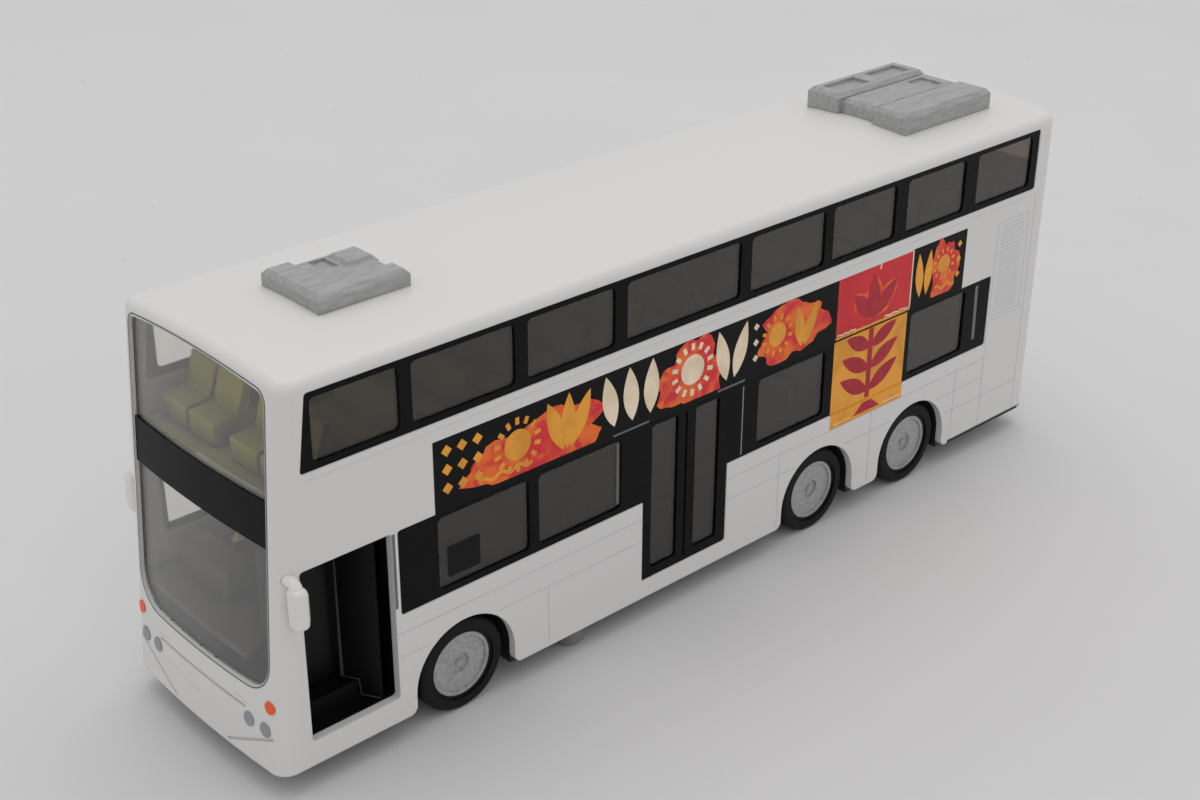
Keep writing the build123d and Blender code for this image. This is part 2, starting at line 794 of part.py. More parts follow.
# Wheels and their axle pins
rim_inner = hub_radius - hub_rim_width
hub_face = hub_outer - hub_face_drop
hub_floor = hub_outer - hub_dimple_drop
tyre_inner = tyre_outer - tyre_width
tyre_side = tyre_radius - tyre_shoulder
for name, share in axle_places:
    place = along(share)
    with BuildPart() as axle_pin:
        with Locations((place, 0, axle_height)):
            Cylinder(axle_radius, 2 * pin_half_length, rotation=(90, 0, 0))
    finish(axle_pin, "axle_" + name)
    for side, side_name in ((1, "left"), (-1, "right")):
        turning = Axis((place, 0, axle_height), (0, 1, 0))
        with BuildPart() as tyre:
            with BuildSketch(turned_plane(place, side)):
                with BuildLine():
                    Polyline(
                        (tyre_inner, tyre_side), (tyre_inner, hub_radius), (tyre_outer - tyre_bead, hub_radius),
                        (tyre_outer - tyre_bead, hub_radius + tyre_bead_width),
                        (tyre_outer, hub_radius + tyre_bead_width), (tyre_outer, tyre_side),
                    )
                    RadiusArc((tyre_inner, tyre_side), (tyre_inner + tyre_shoulder, tyre_radius), tyre_shoulder)
                    Line((tyre_inner + tyre_shoulder, tyre_radius), (tyre_outer - tyre_shoulder, tyre_radius))
                    RadiusArc((tyre_outer - tyre_shoulder, tyre_radius), (tyre_outer, tyre_side), tyre_shoulder)
                make_face()
            revolve(axis=turning)
        finish(tyre, "tyre_" + name + "_" + side_name)

        with BuildPart() as hub:
            with BuildSketch(turned_plane(place, side)):
                with BuildLine():
                    Polyline(
                        (hub_outer - hub_width, axle_radius), (hub_outer - hub_width, hub_radius),
                        (hub_outer, hub_radius), (hub_outer, rim_inner), (hub_face, rim_inner),
                        (hub_face, hub_dimple_radius), (hub_floor, hub_dimple_radius),
                        (hub_floor, hub_cap_radius), (hub_face, hub_cap_radius), (hub_face, 0),
                        (pin_half_length, 0), (pin_half_length, axle_radius), close=True,
                    )
                make_face()
            revolve(axis=turning)
        finish(hub, "hub_" + name + "_" + side_name)
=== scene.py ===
"""Double decker bus, a die-cast toy model: its finishes, printed work, fittings and studio."""
import math
from functools import partial

import bmesh
import bpy
from bpy.props import FloatProperty, FloatVectorProperty, IntProperty, PointerProperty
from mathutils import Matrix, Vector
from mathutils.bvhtree import BVHTree


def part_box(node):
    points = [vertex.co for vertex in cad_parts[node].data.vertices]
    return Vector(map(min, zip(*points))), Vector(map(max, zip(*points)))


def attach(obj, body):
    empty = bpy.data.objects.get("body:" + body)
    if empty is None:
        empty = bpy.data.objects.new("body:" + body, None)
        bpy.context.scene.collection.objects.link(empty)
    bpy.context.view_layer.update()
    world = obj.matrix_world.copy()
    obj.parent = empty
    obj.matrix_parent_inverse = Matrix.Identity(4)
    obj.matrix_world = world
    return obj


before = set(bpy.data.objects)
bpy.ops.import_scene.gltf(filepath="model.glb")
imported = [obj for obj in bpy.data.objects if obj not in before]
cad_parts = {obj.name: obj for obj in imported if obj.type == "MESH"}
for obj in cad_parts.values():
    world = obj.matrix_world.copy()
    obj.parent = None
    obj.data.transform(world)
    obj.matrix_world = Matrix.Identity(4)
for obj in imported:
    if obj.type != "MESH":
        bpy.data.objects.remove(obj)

bl_info = {
    "name": "Double decker bus",
    "version": (1, 0, 0),
    "blender": (4, 5, 0),
    "location": "3D View > Sidebar > Bus",
    "description": "Finishes and fits out a die-cast double decker bus around its packed frame",
    "category": "Object",
}

MM = 0.001
LEFT, RIGHT = 1, -1
SIDES = ((LEFT, "left"), (RIGHT, "right"))
BODY = "bus_body"
# Input and output places of the Mix node when it mixes colours
MIX_A, MIX_B, MIXED = 6, 7, 2

# The casting, in millimetres of the frame
SIDE_SKIN = 17.9          # flat side of the body, out from the middle
BORDER_SKIN = 17.75       # outer face of the printed window borders
PANE_SKIN = 17.45         # outer face of the panes
SKIRT = 3.8
LOWER_SILL, LOWER_HEAD = 19.9, 32.4
TAIL_SEAM, TAIL_EDGE = -64.4, -74.3   # front and rear ends of the panel with the air grille
AXLES = {"front": 48.105, "middle": -22.702, "rear": -46.001}
ARCH_MIDDLE = 6.5         # height of the point from which a wheel arch keeps the lines off
ARCH_REACH = 9.2          # and how far it does so
UNDER = 0.01              # how far ink and thin trim reach into the skin below them


def srgb(code):
    """Linear colour of a six-figure sRGB hex value."""
    levels = [int(code[i:i + 2], 16) / 255 for i in (0, 2, 4)]
    linear = [v / 12.92 if v <= 0.04045 else ((v + 0.055) / 1.055) ** 2.4 for v in levels]
    return (*linear, 1.0)


def toned(shade, share, lift=0.0):
    """Linear colour at a share of its strength, lifted a little."""
    return (*(min(1.0, v * share + lift) for v in shade[:3]), 1.0)


def colour(name, description, code):
    """Colour setting with its sRGB hex default."""
    return FloatVectorProperty(
        name=name, description=description, subtype="COLOR", size=4, min=0.0, max=1.0,
        default=srgb(code),
    )


def length(name, description, millimetres):
    """Length setting with its default in millimetres."""
    return FloatProperty(
        name=name, description=description, subtype="DISTANCE", unit="LENGTH",
        min=0.0, precision=5, default=millimetres * MM,
    )


class CastingLook(bpy.types.PropertyGroup):
    """Colours and texture of the painted castings."""
    enamel: colour("Enamel", "White enamel sprayed on the body", "DCDBD9")
    thin_enamel: colour("Thin enamel", "Enamel where it runs thin on an edge", "C2C2C2")
    speck: colour("Speck", "Dust caught in the enamel", "9C8F83")
    plastic: colour("White plastic", "Moulded mirrors", "E2E1DC")
    silver: colour("Silver", "Silver brushed on the roof pods", "ADADAD")
    silver_shade: colour("Silver shade", "Silver where the brush left little", "9A9A98")
    peel: length("Orange peel", "Width of one dimple of the sprayed enamel", 0.9)


class GlazingLook(bpy.types.PropertyGroup):
    """Colours of the glazing and its printed borders."""
    screen: colour("Windscreen", "Tint of the windscreen", "F2F1ED")
    pane: colour("Side panes", "Tint of the side and rear panes", "9C8F82")
    border: colour("Border", "Black printed round the panes", "131415")
    gasket: length("Gasket", "Width of the line round the windscreen", 0.2)


class CabinLook(bpy.types.PropertyGroup):
    """Colours of the mouldings inside the bus and of its base."""
    seats: colour("Seats", "Yellow green upper deck with its seats", "CCC43A")
    # Painted shade: the upper deck's colour in the hollows between its seats, laid on by ambient
    # occlusion
    seat_painted_shade: colour("Seat gaps", "Upper deck in the gaps between its seats", "4E4A26")
    floor: colour("Lower deck", "Grey lower deck and driver's console", "64625A")
    # Painted shade: the lower deck's colour in the hollows between its seats, laid on by ambient
    # occlusion
    floor_painted_shade: colour("Lower gaps", "Lower deck in the gaps between its seats", "2A2925")
    well: colour("Doorway", "Pocket behind the open front door", "070707")
    base: colour("Base plate", "Moulded base", "1E2021")


class PrintLook(bpy.types.PropertyGroup):
    """Printed lines of the bodywork."""
    line: colour("Line", "Ink of the panel lines", "BFC4CD")
    width: length("Line width", "Width of a printed panel line", 0.15)
    thickness: length("Ink thickness", "Height of the ink above the enamel", 0.02)
    slats: IntProperty(
        name="Slats", description="Slats of the printed air grille", default=25, min=2, max=60,
    )


class PosterLook(bpy.types.PropertyGroup):
    """Inks of the poster along the left side."""
    ground: colour("Ground", "Black ground", "141516")
    amber: colour("Amber", "Amber ink", "F0A63A")
    orange: colour("Orange", "Orange ink", "F0722F")
    red: colour("Red", "Red ink", "DA3038")
    deep_red: colour("Deep red", "Deep red ink", "A82434")
    cream: colour("Cream", "Cream ink", "F3E2C8")


class WheelLook(bpy.types.PropertyGroup):
    """Colours of the tyres, hubs and axles."""
    tyre: colour("Tyre", "Soft black plastic of the tyres", "0F0E0F")
    hub: colour("Hub", "Silvered plastic of the hubs", "B0B1B2")
    steel: colour("Axle", "Drawn steel of the axles", "B4B5B6")


class LampLook(bpy.types.PropertyGroup):
    """Colours of the painted lamps."""
    indicator: colour("Indicator", "Orange of the indicators", "F2560C")
    headlamp: colour("Headlamp", "Grey of the headlamps", "8F9398")
    tail: colour("Tail lamp", "Red of the tail lamps", "9E1B1B")


class StudioLook(bpy.types.PropertyGroup):
    """Floor, lamps and camera."""
    floor: colour("Floor", "Pale paper floor", "DAD9DA")
    speck: colour("Grit", "Grit lying on the floor", "8E857C")
    air: colour("Background", "Pale background beyond the floor", "CFCFD2")
    fill: FloatProperty(
        name="Fill", description="Strength of the light from all round", default=0.76, min=0.0,
    )
    key_power: FloatProperty(
        name="Softbox", description="Power of the softbox overhead", default=1.0, min=0.0,
        unit="POWER",
    )
    key_size: length("Softbox size", "Side of the softbox", 620)
    lens: FloatProperty(
        name="Lens", description="Focal length of the camera, in millimetres", default=54.0,
        min=1.0,
    )


LOOKS = {
    "bus_casting": CastingLook, "bus_glazing": GlazingLook, "bus_cabin": CabinLook,
    "bus_print": PrintLook, "bus_poster": PosterLook, "bus_wheels": WheelLook,
    "bus_lamps": LampLook, "bus_studio": StudioLook,
}


def at(x, y, z):
    """Point of the frame, in metres, from millimetres."""
    return Vector((x, y, z)) * MM


# Materials

def per(millimetres):
    """Scale of a pattern whose features have a real size in millimetres."""
    return 1.0 / (millimetres * MM)


def add_node(tree, kind, settings=None):
    """Add a shader node. Small letters set its properties; capitals or places set its inputs, to a
    value or by a link from a socket or from another node's main output."""
    node = tree.nodes.new("ShaderNode" + kind)
    for key, value in (settings or {}).items():
        if isinstance(value, bpy.types.Node):
            value = value.outputs[MIXED if value.bl_idname == "ShaderNodeMix" else 0]
        if isinstance(value, bpy.types.NodeSocket):
            tree.links.new(value, node.inputs[key])
        elif isinstance(key, int) or key[0].isupper():
            node.inputs[key].default_value = value
        else:
            setattr(node, key, value)
    return node


def node_material(recipe):
    """Turn a recipe into a maker of materials. The recipe takes what adds nodes and the object's
    own coordinates, and returns the shader; the maker takes the name of the material instead."""
    def make(name, *details, **more):
        made = bpy.data.materials.new(name)
        made.use_nodes = True
        made.node_tree.nodes.clear()
        add = partial(add_node, made.node_tree)
        place = add("TexCoord").outputs["Object"]
        add("OutputMaterial", {"Surface": recipe(add, place, *details, **more)})
        return made

    return make


@node_material
def sprayed_enamel(add, place, look):
    """Semi-gloss enamel on zinc: a fine orange peel breaks up its reflections, it thins to grey on
    sharp edges, and a few specks of dust are caught in it."""
    # Castings have edges of about 0.2 mm; the rounded normal also finds where the paint thins
    soft = add("Bevel", {"samples": 4, "Radius": 0.22 * MM})
    true = add("NewGeometry").outputs["Normal"]
    turn = add("VectorMath", {"operation": "DOT_PRODUCT", 0: soft, 1: true})
    edge = add("MapRange", {
        "From Min": 1.0, "From Max": 0.80, "To Max": 0.55, "Value": turn.outputs["Value"],
    })
    worn = add("Mix", {"data_type": "RGBA", MIX_A: look.enamel, MIX_B: look.thin_enamel, 0: edge})
    # Specks are about 0.1 mm wide on the toy and are drawn at 0.2 mm so that they show
    grit = add("TexVoronoi", {"Scale": per(5.0), "Randomness": 1.0, "Vector": place})
    speck = add("MapRange", {"From Min": 0.028, "From Max": 0.014, "To Max": 0.6, "Value": grit})
    patch = add("TexNoise", {"Scale": per(22.0), "Detail": 2.0, "Vector": place})
    few = add("MapRange", {"From Min": 0.50, "From Max": 0.56, "Value": patch})
    share = add("Math", {"operation": "MULTIPLY", 0: speck, 1: few})
    dusty = add("Mix", {"data_type": "RGBA", MIX_B: look.speck, 0: share, MIX_A: worn})
    peel = add("TexNoise", {
        "Scale": 1.0 / look.peel, "Detail": 2.0, "Roughness": 0.4, "Vector": place,
    })
    ripple = add("Bump", {"Strength": 0.10, "Distance": 0.02 * MM, "Height": peel, "Normal": soft})
    gloss = add("MapRange", {"To Min": 0.30, "To Max": 0.42, "Value": patch})
    return add("BsdfPrincipled", {
        "IOR": 1.5, "Coat Weight": 0.15, "Coat Roughness": 0.2, "Base Color": dusty,
        "Roughness": gloss, "Normal": ripple,
    })


@node_material
def moulded_white(add, place, look):
    """Glossy moulded polystyrene: smooth, slightly see-through, with a faint flow mark."""
    flow = add("TexNoise", {"Scale": per(3.0), "Detail": 3.0, "Vector": place})
    gloss = add("MapRange", {"To Min": 0.22, "To Max": 0.36, "Value": flow})
    dent = add("Bump", {"Strength": 0.15, "Distance": 0.05 * MM, "Height": flow})
    return add("BsdfPrincipled", {
        "Base Color": look.plastic, "IOR": 1.59, "Subsurface Weight": 0.08,
        "Subsurface Scale": 0.4 * MM, "Roughness": gloss, "Normal": dent,
    })


@node_material
def brushed_on_silver(add, place, look):
    """Silver paint brushed over a rough casting: streaks run along the bus over soft edges."""
    # A brush hair leaves a mark of 0.15 mm; drawn at 0.6 mm across and 3 mm long so that it shows
    drawn = add("Mapping", {"Scale": (0.2, 1.0, 1.0), "Vector": place})
    streak = add("TexNoise", {"Scale": per(0.6), "Detail": 3.0, "Roughness": 0.5, "Vector": drawn})
    cover = add("MapRange", {"From Min": 0.30, "From Max": 0.62, "Value": streak})
    tone = add("Mix", {"data_type": "RGBA", MIX_A: look.silver_shade, MIX_B: look.silver, 0: cover})
    grain = add("TexNoise", {"Scale": per(0.5), "Detail": 3.0, "Vector": place})
    soft = add("Bevel", {"samples": 4, "Radius": 0.25 * MM})
    rough = add("Bump", {"Strength": 0.3, "Distance": 0.03 * MM, "Height": grain, "Normal": soft})
    return add("BsdfPrincipled", {
        "Metallic": 0.25, "Roughness": 0.46, "Base Color": tone, "Normal": rough,
    })


@node_material
def moulded_glazing(add, place, tint, haze, clear=None, clear_from=0.0):
    """Moulded clear polystyrene: see-through and glossy, with the slow waves of a thin moulding.
    Ahead of clear_from, in millimetres, it takes the clear tint instead."""
    wave = add("TexNoise", {"Scale": per(14.0), "Detail": 1.0, "Vector": place})
    sway = add("Bump", {"Strength": 0.05, "Distance": 0.2 * MM, "Height": wave})
    gloss = add("MapRange", {"To Min": haze * 0.6, "To Max": haze * 1.4, "Value": wave})
    tone = tint
    if clear:
        ahead = add("SeparateXYZ", {"Vector": place})
        share = add("MapRange", {
            "From Min": clear_from * MM, "From Max": (clear_from + 0.1) * MM, "Value": ahead,
        })
        tone = add("Mix", {"data_type": "RGBA", MIX_A: tint, MIX_B: clear, 0: share})
    return add("BsdfPrincipled", {
        "Base Color": tone, "IOR": 1.59, "Transmission Weight": 1.0, "Roughness": gloss,
        "Normal": sway,
    })


@node_material
def flat_plastic(
    add, place, shade, grain_size, depth, low_gloss, high_gloss, drift=0.12, shine=0.5,
):
    """Moulded or printed surface: one colour that drifts a little, with the grain of its tool."""
    grain = add("TexNoise", {"Scale": per(grain_size), "Detail": 3.0, "Vector": place})
    broad = add("TexNoise", {"Scale": per(grain_size * 12), "Detail": 2.0, "Vector": place})
    gloss = add("MapRange", {"To Min": low_gloss, "To Max": high_gloss, "Value": broad})
    tone = add("Mix", {
        "data_type": "RGBA", MIX_A: toned(shade, 1 - drift), MIX_B: toned(shade, 1 + drift, 0.002),
        0: broad,
    })
    tooth = add("Bump", {"Strength": 0.35, "Distance": depth * MM, "Height": grain})
    return add("BsdfPrincipled", {
        "IOR": 1.5, "Specular IOR Level": shine, "Base Color": tone, "Roughness": gloss,
        "Normal": tooth,
    })


@node_material
def moulded_deck(add, place, shade, painted_gap_shade, above=None, from_height=0.0):
    """Moulded polystyrene deck: satin, with painted shade that darkens it to the gap colour in the
    hollows between the seats.
    Over from_height, in millimetres, it takes the colour above instead."""
    # Painted shade: ambient occlusion within 5 mm mixes in the gap colour, darkest in the hollows
    # between the seats
    painted_occlusion = add("AmbientOcclusion", {"samples": 8, "Distance": 5.0 * MM})
    share = add("MapRange", {"From Min": 0.25, "From Max": 0.85, "Value": painted_occlusion.outputs["AO"]})
    tone = add("Mix", {"data_type": "RGBA", MIX_A: painted_gap_shade, MIX_B: shade, 0: share})
    if above:
        rise = add("SeparateXYZ", {"Vector": place})
        over = add("MapRange", {
            "From Min": from_height * MM, "From Max": (from_height + 0.1) * MM,
            "Value": rise.outputs["Z"],
        })
        tone = add("Mix", {"data_type": "RGBA", MIX_B: above, 0: over, MIX_A: tone})
    grain = add("TexNoise", {"Scale": per(0.8), "Detail": 4.0, "Vector": place})
    gloss = add("MapRange", {"To Min": 0.42, "To Max": 0.60, "Value": grain})
    tooth = add("Bump", {"Strength": 0.3, "Distance": 0.03 * MM, "Height": grain})
    return add("BsdfPrincipled", {
        "IOR": 1.5, "Base Color": tone, "Roughness": gloss, "Normal": tooth,
    })


@node_material
def mottled_ink(add, place, first, second, size):
    """Printed ink that runs from one colour to another in cloudy patches, as in a screen print."""
    cloud = add("TexNoise", {"Scale": per(size), "Detail": 4.0, "Distortion": 0.6, "Vector": place})
    share = add("MapRange", {"From Min": 0.42, "From Max": 0.60, "Value": cloud})
    tone = add("Mix", {"data_type": "RGBA", MIX_A: first, MIX_B: second, 0: share})
    return add("BsdfPrincipled", {
        "Roughness": 0.34, "IOR": 1.5, "Specular IOR Level": 0.25, "Base Color": tone,
    })


@node_material
def silvered_plastic(add, place, look):
    """Silvered moulded hub: a satin shine with fine scuffs."""
    grain = add("TexNoise", {"Scale": per(0.6), "Detail": 4.0, "Vector": place})
    share = add("MapRange", {"From Min": 0.35, "From Max": 0.60, "Value": grain})
    tone = add("Mix", {
        "data_type": "RGBA", MIX_A: toned(look.hub, 0.78), MIX_B: look.hub, 0: share,
    })
    soft = add("Bevel", {"samples": 4, "Radius": 0.12 * MM})
    tooth = add("Bump", {"Strength": 0.25, "Distance": 0.02 * MM, "Height": grain, "Normal": soft})
    return add("BsdfPrincipled", {
        "Metallic": 0.3, "Roughness": 0.42, "Base Color": tone, "Normal": tooth,
    })


@node_material
def drawn_steel(add, place, look):
    """Drawn steel pin: bright, with fine lines along it."""
    drawn = add("Mapping", {"Scale": (1.0, 0.05, 1.0), "Vector": place})
    lines = add("TexNoise", {"Scale": per(0.3), "Detail": 2.0, "Vector": drawn})
    gloss = add("MapRange", {"To Min": 0.22, "To Max": 0.42, "Value": lines})
    return add("BsdfPrincipled", {"Base Color": look.steel, "Metallic": 1.0, "Roughness": gloss})


@node_material
def paper_floor(add, place, look):
    """Matt paper: faint cloudiness and a little dark grit."""
    cloud = add("TexNoise", {"Scale": per(60.0), "Detail": 3.0, "Vector": place})
    tone = add("Mix", {
        "data_type": "RGBA", MIX_A: toned(look.floor, 0.95), MIX_B: look.floor, 0: cloud,
    })
    # Grit of 0.1 to 0.3 mm, one grain in each 11 mm of paper
    grit = add("TexVoronoi", {"Scale": per(11.0), "Vector": place})
    speck = add("MapRange", {"From Min": 0.034, "From Max": 0.016, "To Max": 0.75, "Value": grit})
    gritty = add("Mix", {"data_type": "RGBA", MIX_B: look.speck, 0: speck, MIX_A: tone})
    return add("BsdfPrincipled", {"Roughness": 0.8, "Base Color": gritty})


# Making and fitting pieces

def dress(material, *nodes):
    """Give nodes of the frame their finish."""
    for node in nodes:
        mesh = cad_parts[node].data
        mesh.materials.clear()
        mesh.materials.append(material)


def put(name, data):
    """New object of the scene, from its mesh, lamp or camera."""
    made = bpy.data.objects.new(name, data)
    bpy.context.scene.collection.objects.link(made)
    return made


def mesh_object(name, work, material, smooth=False):
    """Turn finished mesh work into an object of the scene."""
    mesh = bpy.data.meshes.new(name)
    work.to_mesh(mesh)
    work.free()
    mesh.materials.append(material)
    if smooth:
        mesh.shade_smooth()
    return put(name, mesh)


def fit_piece(name, work, material, slot=None, smooth=False):
    """Turn finished mesh work into a piece that rides on the bus."""
    if not work.faces:
        raise RuntimeError(name + " came out empty")
    bmesh.ops.recalc_face_normals(work, faces=work.faces)
    bmesh.ops.triangulate(work, faces=[f for f in work.faces if len(f.verts) > 4])
    piece = mesh_object(name, work, material, smooth)
    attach(piece, BODY)


def join_rings(work, rings, loop=False, ends=(0, -1)):
    """Skin over rings of points, in metres. A loop of rings closes on itself, and otherwise the
    rings at the ends are filled; a ring of one point is a tip."""
    rings = [[work.verts.new(spot) for spot in ring] for ring in rings]
    for first, second in zip(rings, rings[1:] + rings[:1] if loop else rings[1:]):
        for j in range(len(first)):
            k = (j + 1) % len(first)
            far = (second[k], second[j]) if len(second) > 1 else second
            work.faces.new((first[j], first[k], *far))
    for end in () if loop else ends:
        if len(rings[end]) > 1:
            work.faces.new(rings[end])


def fit_rings(name, rings, material, **how):
    """Piece that is a skin over rings of points."""
    work = bmesh.new()
    join_rings(work, rings)
    fit_piece(name, work, material, **how)


def sheet(work, outline, side, low, high):
    """Thin closed sheet on a side of the bus, from an outline in X and Z; all in millimetres."""
    join_rings(work, [[at(x, side * out, z) for x, z in outline] for out in (low, high)])


def strip(work, points, normals, width, low, high, closed=False):
    """Thin closed strip along points (in metres) that lies on the surface with these normals."""
    count = len(points)
    rings = []
    for i, (point, normal) in enumerate(zip(points, normals)):
        before = points[i - 1] if closed or i > 0 else point
        after = points[(i + 1) % count] if closed or i < count - 1 else point
        across = normal.cross((after - before).normalized()).normalized()
        # On the mitre of a bend the strip keeps its width, up to a sharp one
        lean = 1.0
        if closed or 0 < i < count - 1:
            onward = normal.cross((after - point).normalized()).normalized()
            lean = max(0.35, abs(across.dot(onward)))
        reach = across * (width / 2 / lean)
        rings.append([
            point + way * reach + normal * rise
            for way, rise in ((-1, low), (1, low), (1, high), (-1, high))
        ])
    join_rings(work, rings, loop=closed)


def side_line(work, points, side, width, low, high, closed=False):
    """Line on a flat side, through points in X and Z, from low to high, in millimetres."""
    spots = [at(x, side * low, z) for x, z in points]
    normals = [Vector((0.0, side, 0.0))] * len(spots)
    strip(work, spots, normals, width * MM, 0.0, (high - low) * MM, closed)


def print_piece(name, material, low, high, outlines=(), lines=(), side=LEFT, step=0.0):
    """Print on a side of the bus: filled outlines, and lines with their points, width and, if they
    close, True. Each is a step thicker than the one before, so no two faces lie in one plane."""
    work = bmesh.new()
    for outline in outlines:
        high += step
        sheet(work, outline, side, low, high)
    for points, width, *closed in lines:
        high += step
        side_line(work, points, side, width, low, high, any(closed))
    fit_piece(name, work, material)


def skin_finder(node):
    """Tool that finds points on the skin of a node, from outside."""
    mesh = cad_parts[node].data
    tree = BVHTree.FromPolygons(
        [v.co.copy() for v in mesh.vertices], [p.vertices[:] for p in mesh.polygons])

    def find(start, direction):
        """First point and outward normal from a start point in millimetres along a direction."""
        spot, normal, _, _ = tree.ray_cast(Vector(start) * MM, Vector(direction))
        if spot is None:
            raise RuntimeError("no skin found from " + str(tuple(start)))
        return spot, normal if normal.dot(Vector(direction)) < 0 else -normal

    return find


def front_line(work, find, points, width, ink, closed=False):
    """Line draped on the front of the bus, through points in Y and Z, in millimetres."""
    spots = []
    loop = points + points[:1] if closed else points
    for (y0, z0), (y1, z1) in zip(loop, loop[1:]):
        # One point in each millimetre follows the bow of the front
        count = max(1, round(math.hypot(y1 - y0, z1 - z0)))
        spots += [(y0 + (y1 - y0) * i / count, z0 + (z1 - z0) * i / count) for i in range(count)]
    if not closed:
        spots.append(loop[-1])
    hits = [find((120, *spot), (-1, 0, 0)) for spot in spots]
    strip(work, *zip(*hits), width * MM, -0.02 * MM, ink * MM, closed)


def rounded_loop(left, right, low, high, low_radius, high_radius, steps=6):
    """Outline of a rounded rectangle as a list of points."""
    points = []
    foot, head = low + low_radius, high - high_radius
    for across, up, radius, start in (
        (right - high_radius, head, high_radius, 0), (left + high_radius, head, high_radius, 90),
        (left + low_radius, foot, low_radius, 180), (right - low_radius, foot, low_radius, 270),
    ):
        for i in range(steps + 1):
            angle = math.radians(start + 90 * i / steps)
            points.append((across + radius * math.cos(angle), up + radius * math.sin(angle)))
    return points


def panel(front, rear, low, high):
    """Outline of a plain rectangle."""
    return [(front, low), (rear, low), (rear, high), (front, high)]


def leaf(root, tip, width, steps=9):
    """Outline of a pointed leaf between two points."""
    x0, z0 = root
    run, rise = tip[0] - x0, tip[1] - z0
    span = math.hypot(run, rise)
    across = (-rise / span, run / span)
    edges = []
    for i in range(1, steps):
        t = i / steps
        half = width / 2 * math.sin(math.pi * t) ** 0.85 * (1.15 - 0.3 * t)
        edges.append((x0 + run * t, z0 + rise * t, half))
    right = [(x + across[0] * h, z + across[1] * h) for x, z, h in edges]
    left = [(x - across[0] * h, z - across[1] * h) for x, z, h in reversed(edges)]
    return [root] + right + [tip] + left


def splash(middle, reach, seed, bounds, steps=44):
    """Outline of a ragged splash of ink, kept inside bounds (front, rear, low, high)."""
    front, rear, low, high = bounds
    outline = []
    for i in range(steps):
        angle = 2 * math.pi * i / steps
        ragged = 1 + 0.13 * math.sin(3 * angle + seed) + 0.09 * math.sin(7 * angle + 2.3 * seed) \
            + 0.05 * math.sin(13 * angle + 3.1 * seed)
        x = min(front, max(rear, middle[0] + reach[0] * ragged * math.cos(angle)))
        z = min(high, max(low, middle[1] + reach[1] * ragged * math.sin(angle)))
        if not outline or math.hypot(x - outline[-1][0], z - outline[-1][1]) > 0.05:
            outline.append((x, z))
    return outline


def disc(middle, radius, steps=28):
    """Outline of a disc."""
    angles = [2 * math.pi * i / steps for i in range(steps)]
    return [(middle[0] + radius * math.cos(a), middle[1] + radius * math.sin(a)) for a in angles]


def turned(middle, profile, steps=28):
    """Rings about an upright line, from radii and heights in millimetres; radius 0 is a tip."""
    return [
        [at(x, y, height) for x, y in (disc(middle, radius, steps) if radius else [middle])]
        for radius, height in profile
    ]


# Operators, one for each piece or group of like pieces

class DressCasting(bpy.types.Operator):
    """Paint the body casting, the roof pods and the mirrors"""
    bl_idname = "bus.dress_casting"
    bl_label = "Casting, pods and mirrors"

    def execute(self, context):
        look = context.scene.bus_casting
        dress(sprayed_enamel("sprayed_enamel_on_zinc", look), "body_shell")
        dress(brushed_on_silver("silver_paint_on_rough_casting", look),
              "roof_pod_front", "roof_pod_rear")
        dress(moulded_white("moulded_white_polystyrene", look), "mirror_left", "mirror_right")
        # Silver foil on the face of each mirror that looks back along the bus
        foil = flat_plastic("silver_foil", srgb("B9BCBE"), 0.6, 0.01, 0.10, 0.22)
        for side, name in SIDES:
            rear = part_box("mirror_" + name)[0].x / MM
            middle = side * 19.3  # of the mirror, out from the middle of the bus
            face = rounded_loop(middle - 0.75, middle + 0.75, 26.6, 30.9, 0.4, 0.4)
            fit_rings("mirror_face_" + name, [
                [at(rear + ahead, y, z) for y, z in face] for ahead in (0.25, -0.04)
            ], foil)
        return {"FINISHED"}


class DressGlazing(bpy.types.Operator):
    """Glaze the windows and print their black borders"""
    bl_idname = "bus.dress_glazing"
    bl_label = "Windows and borders"

    def execute(self, context):
        look = context.scene.bus_glazing
        dress(moulded_glazing("clear_moulded_windscreen", look.screen, 0.03), "windscreen")
        # Clear glazing casts no shadow of its own, so the lamps reach the ledge and seats behind it
        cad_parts["windscreen"].visible_shadow = False
        dress(moulded_glazing("smoked_moulded_panes", look.pane, 0.05),
              "upper_glass_left", "lower_glass_left", "rear_window")
        # On the driver's side the clear moulding of the windscreen runs on to the first bay
        for deck, clear_from in (("upper", 55.9), ("lower", 58.6)):
            dress(moulded_glazing(
                f"smoked_{deck}_panes_with_clear_bay", look.pane, 0.05, look.screen, clear_from,
            ), deck + "_glass_right")
        # Gloss black ink on the face of the glazing, with the faint drift of a hand-fed print
        black = flat_plastic(
            "gloss_black_printed_border", look.border, 0.5, 0.008, 0.22, 0.34, shine=0.06)
        dress(black, "upper_frame_left", "upper_frame_right", "lower_frame_left",
              "lower_frame_right", "display_band")
        return {"FINISHED"}


